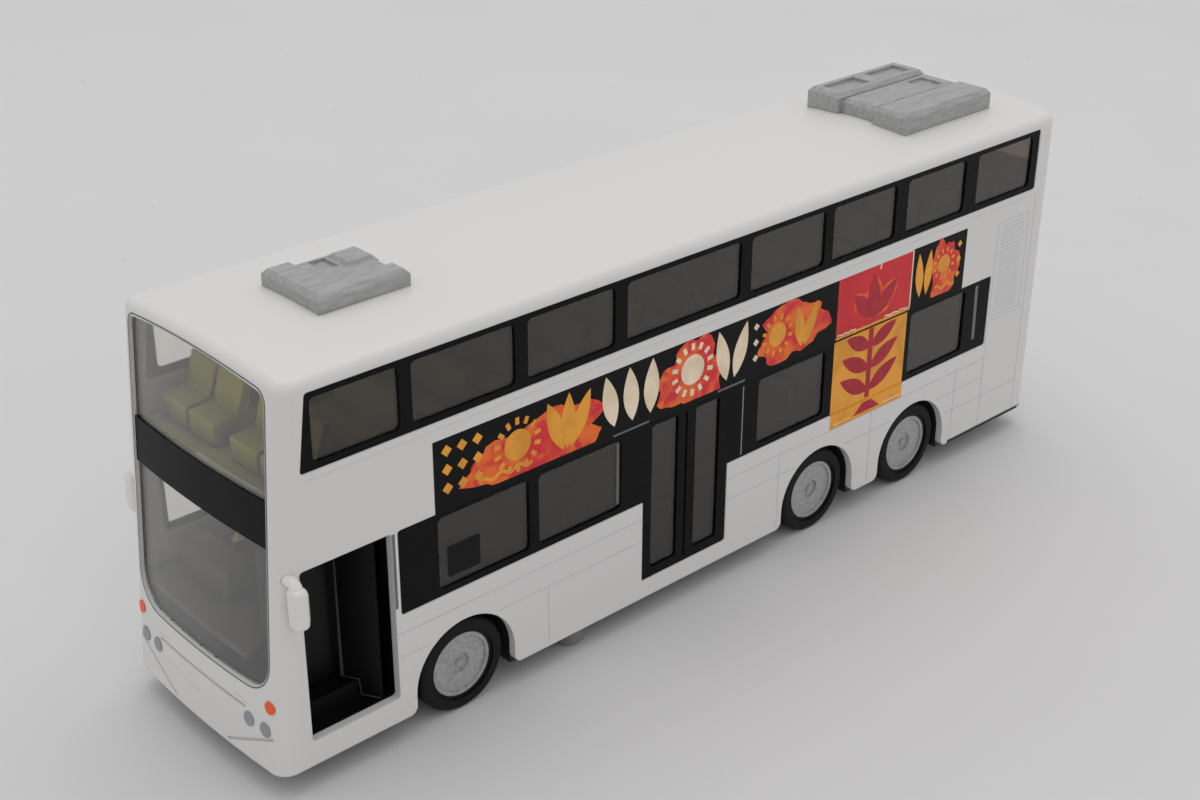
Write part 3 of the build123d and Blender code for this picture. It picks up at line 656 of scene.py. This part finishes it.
class PrintSideWindows(bpy.types.Operator):
    """Print the route box and the pale strips and lines on the lower windows of the left side"""
    bl_idname = "bus.print_side_windows"
    bl_label = "Marks on the lower windows"

    def execute(self, context):
        black = flat_plastic(
            "black_route_box", context.scene.bus_glazing.border, 0.6, 0.005, 0.25, 0.35, shine=0.12)
        print_piece("route_box_left", black, PANE_SKIN, PANE_SKIN + 0.03, [
            rounded_loop(44.9, 50.3, 22.0, 26.6, 0.3, 0.3)])
        pale = flat_plastic("worn_silver_strip", srgb("6A6965"), 0.5, 0.01, 0.35, 0.5)
        thin = flat_plastic("grey_seam_ink", srgb("8C9193"), 0.5, 0.01, 0.35, 0.5)
        # Painted highlight: grey strips along the lit edge of the groove above the middle door; the
        # same grey runs down the rear jamb of the front doorway
        edge = flat_plastic("bare_ledge_grey", srgb("62686A"), 0.5, 0.01, 0.3, 0.45)
        # Ends of each line, its width, the skin that it lies on and its thickness
        for name, material, lines in (
            ("pane_edge_strips", pale, (
                ((-60.7, 21.8), (-60.4, 31.6), 0.75, BORDER_SKIN, 0.03),
                ((20.2, 21.3), (20.2, 31.0), 0.55, PANE_SKIN, 0.03),
            )),
            ("door_seam_line", thin, (((-4.6, 20.3), (-4.6, 31.6), 0.2, BORDER_SKIN, 0.03),)),
            ("door_header_strips", edge, (
                ((21.6, 32.72), (14.8, 32.72), 0.3, SIDE_SKIN, 0.05),
                ((1.1, 32.72), (-4.6, 32.72), 0.3, SIDE_SKIN, 0.05),
                ((58.95, 21.2), (58.95, 32.2), 0.4, SIDE_SKIN, 0.05),
            )),
        ):
            work = bmesh.new()
            for start, end, width, skin, ink in lines:
                side_line(work, [start, end], LEFT, width, skin - UNDER, skin + ink)
            fit_piece(name, work, material)
        return {"FINISHED"}


class DressCabin(bpy.types.Operator):
    """Colour the moulded decks, the doorway and the base plate, and fit what stands in them"""
    bl_idname = "bus.dress_cabin"
    bl_label = "Decks, doorway and base"

    deck_top = 40.85          # floor of the upper deck
    wheel_depth = 3.6         # part of the console, from its top, that is the steering wheel

    def execute(self, context):
        look = context.scene.bus_cabin
        # Both decks and the console carry painted shade in the hollows between their seats
        seats = moulded_deck("moulded_yellow_green_deck", look.seats, look.seat_painted_shade)
        dress(seats, "upper_deck")
        dress(moulded_deck("moulded_grey_deck", look.floor, look.floor_painted_shade), "lower_deck")
        # The steering wheel stands over the console in the upper deck's colour
        console_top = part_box("driver_console")[1].z / MM
        dress(moulded_deck(
            "moulded_grey_console_with_yellow_wheel", look.floor, look.floor_painted_shade, look.seats,
            console_top - self.wheel_depth,
        ), "driver_console")
        satin = flat_plastic("satin_black_moulding", look.well, 0.7, 0.02, 0.32, 0.5, shine=0.25)
        dress(satin, "door_well")
        base = flat_plastic("grained_black_base", look.base, 0.4, 0.04, 0.42, 0.6)
        dress(base, "base_plate")
        self.fit_tail_edges(base)
        self.fit_front_seats(seats)
        self.fit_ledge(moulded_white("moulded_white_polystyrene", context.scene.bus_casting))
        self.fit_door_leaf(satin)
        self.fit_feet()
        return {"FINISHED"}

    def fit_tail_edges(self, base):
        """Thin edge of the base that shows under the skirt behind the rear wheels."""
        find = skin_finder("body_shell")
        height = SKIRT + 0.27
        for side, name in SIDES:
            # A point in each 1.5 mm of the straight, then in each 8 degrees of the corner
            hits = [find((-56.2 - 1.5 * i, side * 40, height), (0, -side, 0)) for i in range(11)]
            for degrees in range(8, 49, 8):
                angle = math.radians(degrees)
                out = Vector((-math.sin(angle), side * math.cos(angle), 0.0))
                hits.append(find(Vector((-72.0, side * 12.0, height)) + out * 30, -out))
            work = bmesh.new()
            strip(work, *zip(*hits), 0.5 * MM, -0.02 * MM, 0.05 * MM)
            fit_piece("base_tail_edge_" + name, work, base)

    def fit_feet(self):
        """Round lugs under the fixing bosses, reaching nearly to the floor."""
        grey = flat_plastic("worn_grey_lug", srgb("7A7875"), 0.6, 0.02, 0.45, 0.6)
        for side, name in SIDES:
            fit_rings("fixing_lug_" + name, turned((26.8, side * 14.4), (
                (2.1, 3.4), (2.1, 0.6), (1.85, 0.35), (1.0, 0.35), (0.9, 0.6))), grey)

    def fit_front_seats(self, seats):
        """Front row of four seats on the upper deck, a pitch ahead of the row behind it."""
        deck, front = self.deck_top, 71.0
        profile = (
            (front, deck), (front, deck + 3.4), (front - 4.0, deck + 3.4),
            (front - 5.0, deck + 8.0), (front - 6.2, deck + 8.0), (front - 5.2, deck),
        )
        work = bmesh.new()
        for ends in ((1.8, 7.9), (8.5, 14.6), (-7.9, -1.8), (-14.6, -8.5)):
            join_rings(work, [[at(x, across, z) for x, z in profile] for across in ends])
        bmesh.ops.bevel(
            work, geom=work.edges[:], offset=0.4 * MM, segments=2, affect="EDGES", profile=0.6,
        )
        fit_piece("upper_front_seats", work, seats, slot="seat_plastic")

    def fit_ledge(self, white):
        """White ledge behind the windscreen of the upper deck, deeper on the door side."""
        low, ease, count = self.deck_top + 0.07, 0.12, 20
        for name, near, far, depth, high in (
            ("upper_front_ledge", 15.0, -15.0, 0.5, 41.50),
            ("upper_front_shelf", 14.2, -1.6, 1.25, 41.48),
        ):
            rings = []
            for i in range(count + 1):
                across = near + (far - near) * i / count
                # It follows the bow of the front
                front = 74.55 - 0.8 * (across / 16.85) ** 2
                rear = front - depth
                rings.append([at(x, across, z) for x, z in (
                    (front, low), (front, high - ease), (front - ease, high), (rear + ease, high),
                    (rear, high - ease), (rear, low),
                )])
            fit_rings(name, rings, white)

    def fit_door_leaf(self, satin):
        """Leaf of the front door, folded inward at the rear jamb, with a pale highlight painted
        along its edge.
        """
        hinge, free = Vector((61.0, 16.45, 0.0)), Vector((63.8, 11.6, 0.0))
        half = 0.25               # half of its thickness
        span = (free - hinge).length
        run = (free - hinge).normalized()
        back = Vector((run.y, -run.x, 0.0))
        step_edge = 13.85         # where the step of the doorway ends, out from the middle
        sill = (hinge.y - step_edge) / abs(run.y)

        def spot(reach, height, out):
            """Point of the leaf, in metres, from its hinge, the floor and its middle plane."""
            return (hinge + run * reach + back * out + Vector((0.0, 0.0, height))) * MM

        outline = ((0.0, 7.62), (sill, 7.62), (sill, 10.0), (span, 10.0), (span, 31.4), (0.0, 31.4))
        fit_rings("door_leaf_folded", [
            [spot(*corner, out) for corner in outline] for out in (half, -half)], satin)
        # Painted highlight: a pale strip along the edges of the face that looks forward, out of the
        # doorway
        way = math.copysign(1.0, back.x)
        spots = [spot(reach, height, way * half) for reach, height in (
            (span - 0.1, 31.2), (span - 0.1, 10.1), (sill + 0.1, 10.1), (sill - 0.1, 7.75),
            (0.1, 7.75))]
        work = bmesh.new()
        strip(work, spots, [back * way] * len(spots), 0.16 * MM, -UNDER * MM, 0.03 * MM)
        fit_piece("door_leaf_edge", work, flat_plastic(
            "worn_edge_of_leaf", srgb("4A4E4C"), 0.4, 0.01, 0.4, 0.55))


class PrintPanelLines(bpy.types.Operator):
    """Print the fine panel lines and the air grille on the two sides"""
    bl_idname = "bus.print_panel_lines"
    bl_label = "Panel lines and air grille"

    def execute(self, context):
        look = context.scene.bus_print
        width = look.width / MM
        low, high = SIDE_SKIN - UNDER, SIDE_SKIN + look.thickness / MM
        grey = flat_plastic("grey_line_ink", look.line, 0.6, 0.004, 0.35, 0.45)
        for side, name in SIDES:
            level = [(*run, height) for height in (17.2, 13.6) for run in self.runs(side, height)]
            level += [(-54.6, TAIL_EDGE, 10.0), (TAIL_SEAM, TAIL_EDGE, 24.0)]
            lines = [([(front, height), (rear, height)], width) for front, rear, height in level]
            lines += [([(place, 4.4), (place, head)], width) for place, head in (
                (33.5, 13.6), (-13.2, 17.2), (-34.9, 17.2), (-56.7, 17.2), (TAIL_SEAM, 24.0),
                (TAIL_EDGE, 43.8),
            )]
            lines.append(([(71.0, 44.3), (TAIL_EDGE, 44.3)], width * 0.5))
            print_piece("panel_lines_" + name, grey, low, high, lines=lines, side=side)
            foot, head = 25.2, 41.0
            pitch = (head - foot) / look.slats
            heights = [foot + pitch * (i + 0.5) for i in range(look.slats)]
            slats = [([(-65.6, height), (-71.9, height)], width * 0.9) for height in heights]
            border = rounded_loop(-72.9, -64.65, foot - 0.5, head + 0.5, 0.2, 0.2, 2)
            slats.append((border, width, True))
            print_piece("air_grille_" + name, grey, low, high, lines=slats, side=side)
        return {"FINISHED"}

    def runs(self, side, height):
        """Front and rear ends of the stretches of a line between the doors and the wheel arches."""
        stops = [59.0, 16.0, -1.9, TAIL_SEAM] if side == LEFT else [72.0, TAIL_SEAM]
        room = ARCH_REACH ** 2 - (height - ARCH_MIDDLE) ** 2
        if room > 0:
            for axle in AXLES.values():
                stops += [axle + math.sqrt(room), axle - math.sqrt(room)]
        stops.sort(reverse=True)
        return zip(stops[::2], stops[1::2])


class PrintFront(bpy.types.Operator):
    """Draw the bumper lines on the front and fit the gasket round the windscreen"""
    bl_idname = "bus.print_front"
    bl_label = "Bumper lines and gasket"

    def execute(self, context):
        look = context.scene.bus_print
        find = skin_finder("body_shell")
        work = bmesh.new()
        for ends in ([(8.0, 12.2), (11.0, 11.9)], [(-8.6, 8.9), (0.1, 8.0)],
                     [(-11.0, 11.9), (-8.0, 12.2)]):
            front_line(work, find, ends, look.width / MM * 0.8, look.thickness / MM)
        grey = flat_plastic("grey_end_line_ink", look.line, 0.6, 0.004, 0.35, 0.45)
        fit_piece("bumper_marks", work, grey)
        work = bmesh.new()
        width = context.scene.bus_glazing.gasket / MM
        front_line(work, find, self.screen_outline(), width, 0.04, closed=True)
        gasket = flat_plastic("worn_rubber_gasket", srgb("66686A"), 0.5, 0.01, 0.4, 0.55)
        fit_piece("windscreen_gasket", work, gasket)
        return {"FINISHED"}

    def screen_outline(self):
        """Line just outside the windscreen's opening, in Y and Z, with its bowed head and foot."""
        edge, low, high = 15.52, 14.8, 56.1
        head_bow, foot_bow = 1.15, -0.3
        loop = rounded_loop(-edge, edge, low, high, 4.7, 1.5)
        corner = len(loop) // 4
        head = [(y, high) for y in range(12, -13, -3)]
        foot = [(y, low) for y in range(-9, 10, 3)]
        points = loop[:corner] + head + loop[corner:3 * corner] + foot + loop[3 * corner:]
        return [
            (y, z + (head_bow if z > (low + high) / 2 else foot_bow) * (1 - (y / edge) ** 2))
            for y, z in points
        ]


class PrintPoster(bpy.types.Operator):
    """Print the poster along the left side: a generic pattern of leaves, suns and waves on black"""
    bl_idname = "bus.print_poster"
    bl_label = "Poster"

    # Front, rear, foot and head of the long strip and of the tail panel
    strip_bounds = (52.3, -24.7, 33.15, 42.7)
    tail_bounds = (-42.5, -56.0, 33.15, 43.0)
    column_bounds = (-24.7, -42.2)
    column_foot = 17.3
    layer = 0.03              # thickness of a layer of ink
    step = 0.0008             # how much thicker each outline of a layer is than the one before

    def execute(self, context):
        look = context.scene.bus_poster
        self.inks = {"ground": flat_plastic(
            "black_poster_ink", look.ground, 0.7, 0.004, 0.30, 0.42, shine=0.08)}
        # Each ink's second colour, and the size of its clouds in millimetres
        for name, second, size in (
            ("amber", srgb("DE9634"), 5.0), ("orange", look.red, 3.2), ("red", srgb("C92C34"), 6.0),
            ("deep_red", srgb("B52A38"), 2.4), ("cream", srgb("E4D2B4"), 5.0),
        ):
            self.inks[name] = mottled_ink(name + "_poster_ink", getattr(look, name), second, size)
        self.print_grounds()
        self.print_strip(SIDE_SKIN + self.layer)
        self.print_column(SIDE_SKIN + self.layer)
        self.print_tail(SIDE_SKIN + self.layer)
        return {"FINISHED"}

    def lay(self, name, ink, skin, outlines=(), lines=(), under=0.005):
        """One layer of ink on a skin: filled outlines and drawn lines."""
        low, high = skin - under, skin + self.layer
        print_piece(name, self.inks[ink], low, high, outlines, lines, step=self.step)

    def print_grounds(self):
        """Black, red and amber panels under the patterns."""
        front, rear, low, high = self.strip_bounds
        near, far = self.column_bounds
        tail, tail_end = far - 0.25, self.tail_bounds[1]
        self.lay("poster_ground", "ground", SIDE_SKIN, [
            panel(front, near, LOWER_HEAD, high), panel(tail, tail_end, LOWER_HEAD, high + 0.2),
            panel(near, tail, LOWER_HEAD, LOWER_HEAD + 0.3),
        ], under=UNDER)
        self.lay("poster_red_panel", "red", SIDE_SKIN, [panel(near, far, low, high)], under=UNDER)
        self.lay("poster_amber_foot", "amber", SIDE_SKIN, [
            panel(near, far, self.column_foot, LOWER_SILL),
            panel(near, far, LOWER_HEAD + 0.32, low),
        ], under=UNDER)
        # The ink runs over the sill of the opening
        print_piece("poster_amber_sill", self.inks["amber"], BORDER_SKIN, SIDE_SKIN + self.layer, [
            panel(near, far, LOWER_SILL - 0.04, LOWER_SILL + 0.04)], step=self.step)
        self.lay("poster_amber_panel", "amber", BORDER_SKIN, [
            panel(near, far, LOWER_SILL + 0.05, LOWER_HEAD - 0.05)])

    def sun(self, middle, radius, rays):
        """Disc with short rays round it."""
        spokes = [disc(middle, radius * share, 2 * rays)[1::2] for share in (0.74, 1.0)]
        return disc(middle, radius * 0.56), [([*ends], radius * 0.16) for ends in zip(*spokes)]

    def wave(self, start, run, height, count, steps=22):
        """Line with this count of waves, from its front end towards the rear."""
        shares = [i / steps for i in range(steps + 1)]
        return [(start[0] - run * share, start[1] + height * math.sin(2 * math.pi * count * share))
                for share in shares]

    def diamonds(self, start, pitch, size, across, down):
        """Rows of small diamonds."""
        spots = [(start[0] - pitch[0] * i, start[1] - pitch[1] * j)
                 for i in range(across) for j in range(down)]
        return [[(x - size, z), (x, z - size), (x + size, z), (x, z + size)] for x, z in spots]

    def print_strip(self, skin):
        """Pattern on the long black strip."""
        self.lay("poster_orange_splashes", "orange", skin, [
            splash(*patch, self.strip_bounds) for patch in (
                ((34.5, 35.6), (11.5, 5.0), 1.1), ((6.5, 37.2), (6.2, 5.2), 2.4),
                ((-14.6, 37.8), (7.4, 4.6), 4.2))
        ])
        first, first_rays = self.sun((38.6, 37.6), 4.0, 14)
        second, second_rays = self.sun((-11.2, 38.0), 3.3, 12)
        blades = (
            ((30.6, 34.0), (33.4, 41.8), 2.6), ((30.0, 34.0), (29.6, 42.2), 2.6),
            ((29.4, 34.0), (25.8, 41.6), 2.6), ((-16.6, 34.4), (-15.6, 41.2), 2.1),
            ((-17.2, 34.4), (-19.8, 41.0), 2.1),
        )
        self.lay(
            "poster_amber_pattern", "amber", skin + self.layer,
            [first, second, *(leaf(*blade) for blade in blades),
             *self.diamonds((50.2, 40.9), (2.5, 2.7), 0.85, 3, 3)],
            [*first_rays, *second_rays, (self.wave((45.2, 34.4), 9.0, 0.35, 3), 0.5)],
        )
        third, third_rays = self.sun((6.4, 38.0), 4.1, 14)
        blades = (
            ((21.4, 34.2), (23.0, 42.2), 2.8), ((18.0, 34.0), (18.6, 42.3), 2.9),
            ((14.6, 34.0), (14.2, 42.3), 2.9), ((-0.6, 34.0), (1.2, 42.2), 2.6),
            ((-2.2, 34.0), (-4.6, 42.2), 2.6),
        )
        self.lay(
            "poster_cream_pattern", "cream", skin + self.layer,
            [third, *(leaf(*blade) for blade in blades),
             *self.diamonds((-6.6, 40.6), (2.0, 2.5), 0.6, 1, 3)],
            third_rays,
        )

    def print_column(self, skin):
        """Tall sprig of leaves over the red and amber panels."""
        upper = (
            ((-33.4, 33.6), (-33.0, 41.6), 3.0), ((-33.2, 34.2), (-28.4, 39.2), 2.6),
            ((-33.6, 34.2), (-38.8, 39.4), 2.6),
        )
        lower = (
            ((-33.4, 29.0), (-27.6, 31.9), 2.5), ((-33.5, 29.0), (-39.6, 31.9), 2.5),
            ((-33.4, 25.2), (-26.8, 28.6), 2.6), ((-33.5, 25.2), (-40.2, 28.8), 2.6),
            ((-33.4, 21.4), (-26.6, 25.0), 2.6), ((-33.5, 21.4), (-40.4, 25.2), 2.6),
        )
        stem = panel(-34.0, -32.9, 20.2, 32.2)
        foot = [(-36.6, 17.9), (-30.2, 17.9), (-32.4, 19.6), (-34.5, 19.6)]
        self.lay("poster_sprig_halo", "orange", skin, [
            leaf(root, tip, width + 1.5) for root, tip, width in upper])
        self.lay("poster_sprig_upper", "deep_red", skin + self.layer, [
            leaf(*blade) for blade in upper])
        self.lay("poster_sprig_lower", "deep_red", BORDER_SKIN + self.layer, [
            *(leaf(*blade) for blade in lower), stem])
        self.lay("poster_sprig_foot", "deep_red", skin, [foot])
        self.lay("poster_fine_lines", "cream", skin, [], [
            ([(-34.5, 42.7), (-34.4, 41.9)], 0.28),
            ([(-42.35, 33.2), (-42.35, 42.8)], 0.28),
            (self.wave((-25.0, 33.35), 4.4, 0.08, 3), 0.22),
            (self.wave((-36.2, 33.35), 5.6, 0.08, 3), 0.22),
            ([(-25.6, 17.95), (-29.4, 17.95)], 0.14),
            ([(-37.4, 17.95), (-41.6, 17.95)], 0.2),
        ])

    def print_tail(self, skin):
        """Pattern on the last black panel."""
        self.lay("poster_tail_splash", "orange", skin, [
            splash((-50.6, 37.0), (3.4, 5.6), 5.3, self.tail_bounds)])
        ball, rays = self.sun((-50.4, 38.4), 2.7, 12)
        self.lay(
            "poster_tail_pattern", "amber", skin + self.layer,
            [ball, leaf((-44.6, 34.2), (-43.9, 41.8), 1.9), leaf((-46.2, 34.2), (-46.8, 41.8), 1.9),
             *self.diamonds((-54.2, 40.8), (1.8, 2.6), 0.6, 1, 3)],
            [*rays, (self.wave((-48.4, 34.5), 5.0, 0.35, 2), 0.45)],
        )


class DressWheels(bpy.types.Operator):
    """Finish the tyres, hubs and axles"""
    bl_idname = "bus.dress_wheels"
    bl_label = "Wheels"

    def execute(self, context):
        look = context.scene.bus_wheels
        tyre = flat_plastic("soft_black_moulded_tyre", look.tyre, 0.5, 0.03, 0.46, 0.62, 0.2, 0.2)
        hub = silvered_plastic("silvered_moulded_hub", look)
        steel = drawn_steel("drawn_steel_pin", look)
        for axle in AXLES:
            dress(steel, "axle_" + axle)
            dress(tyre, f"tyre_{axle}_left", f"tyre_{axle}_right")
            dress(hub, f"hub_{axle}_left", f"hub_{axle}_right")
        return {"FINISHED"}


class DressLamps(bpy.types.Operator):
    """Paint the indicators, headlamps and tail lamps"""
    bl_idname = "bus.dress_lamps"
    bl_label = "Lamps"

    def execute(self, context):
        look = context.scene.bus_lamps
        dress(flat_plastic("orange_lamp_paint", look.indicator, 0.4, 0.01, 0.25, 0.4), "indicators")
        dress(flat_plastic("grey_lamp_paint", look.headlamp, 0.4, 0.01, 0.25, 0.4), "headlamps")
        dress(flat_plastic("red_lamp_paint", look.tail, 0.4, 0.01, 0.2, 0.35), "tail_lamps")
        return {"FINISHED"}


class FitBaseRivets(bpy.types.Operator):
    """Set a spun rivet head in each fixing boss of the base plate"""
    bl_idname = "bus.fit_base_rivets"
    bl_label = "Base rivets"

    def execute(self, context):
        zinc = flat_plastic("spun_zinc_rivet", context.scene.bus_wheels.steel, 0.25, 0.02, 0.3, 0.5)
        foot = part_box("base_plate")[0].z / MM
        # Radius and height of the spun head, from its rim to its dimple
        profile = [(radius, foot + rise) for radius, rise in (
            (1.22, 1.02), (1.22, 0.62), (1.0, 0.34), (0.72, 0.26), (0.5, 0.36), (0.2, 0.48),
            (0.0, 0.5))]
        for side, name in SIDES:
            fit_rings("base_rivet_" + name, turned((27.5, side * 13.0), profile, 32), zinc,
                      slot="axle_steel", smooth=True)
        return {"FINISHED"}


class BuildStudio(bpy.types.Operator):
    """Lay the paper floor, light the room, hang the softbox and set the camera"""
    bl_idname = "bus.build_studio"
    bl_label = "Studio"

    def execute(self, context):
        look = context.scene.bus_studio
        context.scene.view_settings.view_transform = "Standard"
        self.lay_floor(look)
        self.light_room(context.scene, look)
        self.hang_softbox(look)
        self.set_camera(context.scene, look)
        return {"FINISHED"}

    def lay_floor(self, look):
        """Disc of paper whose rim curls up into a low backdrop; radii and heights in metres."""
        work = bmesh.new()
        join_rings(work, [
            [(x, y, height) for x, y in disc((0.0, 0.0), radius, 96)]
            for radius, height in ((0.6, 0.0), (1.6, 0.0), (2.2, 0.04), (2.6, 0.16), (2.9, 0.42))
        ], ends=(0,))
        bmesh.ops.recalc_face_normals(work, faces=work.faces)
        paper = paper_floor("matt_paper_floor", look)
        mesh_object("paper_floor", work, paper, smooth=True)

    def light_room(self, scene, look):
        """Even light from all round; the camera, gloss and glass see a pale background instead."""
        world = bpy.data.worlds.new("pale_room")
        scene.world = world
        world.use_nodes = True
        world.node_tree.nodes.clear()
        add = partial(add_node, world.node_tree)
        path = add("LightPath")
        seen = path.outputs["Is Camera Ray"]
        for ray in ("Is Glossy Ray", "Is Transmission Ray"):
            seen = add("Math", {"operation": "MAXIMUM", 0: seen, 1: path.outputs[ray]})
        light = add("Background", {"Color": (1.0, 1.0, 1.0, 1.0), "Strength": look.fill})
        air = add("Background", {"Color": look.air, "Strength": 1.0})
        both = add("MixShader", {0: seen, 1: light, 2: air})
        add("OutputWorld", {"Surface": both})

    def hang_softbox(self, look):
        """Square soft lamp overhead that faces the bus."""
        place, aim = Vector((-0.10, -0.06, 0.72)), Vector((0.0, 0.0, 0.03))
        data = bpy.data.lights.new("softbox_overhead", "AREA")
        data.energy = look.key_power
        data.shape = "SQUARE"
        data.size = look.key_size
        lamp = put("softbox_overhead", data)
        lamp.location = place
        lamp.rotation_mode = "QUATERNION"
        lamp.rotation_quaternion = (aim - place).to_track_quat("-Z", "Y")

    def set_camera(self, scene, look):
        """Camera at the photographed angle: place in millimetres, angles in degrees."""
        place = at(170.33, 176.89, 148.10)
        yaw, pitch, roll = (math.radians(v) for v in (-132.62, 26.76, 0.20))
        ahead = Vector((math.cos(yaw), math.sin(yaw), 0.0))
        view = math.cos(pitch) * ahead - math.sin(pitch) * Vector((0.0, 0.0, 1.0))
        level = Vector((math.sin(yaw), -math.cos(yaw), 0.0))
        upright = level.cross(view)
        right = math.cos(roll) * level + math.sin(roll) * upright
        up = math.cos(roll) * upright - math.sin(roll) * level
        data = bpy.data.cameras.new("bus_camera")
        data.sensor_width = 36.0
        data.lens = look.lens
        data.clip_start = 0.01
        data.clip_end = 20.0
        scene.camera = put("bus_camera", data)
        turn = Matrix((right, up, -view)).transposed()
        scene.camera.matrix_world = Matrix.Translation(place) @ turn.to_4x4()


STEPS = (
    DressCasting, DressGlazing, PrintSideWindows, DressCabin, PrintPanelLines, PrintFront,
    PrintPoster, DressWheels, DressLamps, FitBaseRivets, BuildStudio,
)


class BusPanel(bpy.types.Panel):
    """Sidebar panel that lists the steps of making the bus"""
    bl_idname = "VIEW3D_PT_bus"
    bl_label = "Double decker bus"
    bl_space_type = "VIEW_3D"
    bl_region_type = "UI"
    bl_category = "Bus"

    def draw(self, context):
        for step in STEPS:
            self.layout.operator(step.bl_idname)


CLASSES = (*LOOKS.values(), *STEPS, BusPanel)


def register():
    """Register the settings, operators and panel."""
    for cls in CLASSES:
        bpy.utils.register_class(cls)
    for name, group in LOOKS.items():
        setattr(bpy.types.Scene, name, PointerProperty(type=group))


def unregister():
    """Take the settings, operators and panel away again."""
    for name in LOOKS:
        delattr(bpy.types.Scene, name)
    for cls in reversed(CLASSES):
        bpy.utils.unregister_class(cls)


def main():
    """Make the bus and its studio."""
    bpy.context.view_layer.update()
    register()
    for step in STEPS:
        group, action = step.bl_idname.split(".")
        getattr(getattr(bpy.ops, group), action)()


if __name__ == "__main__":
    main()
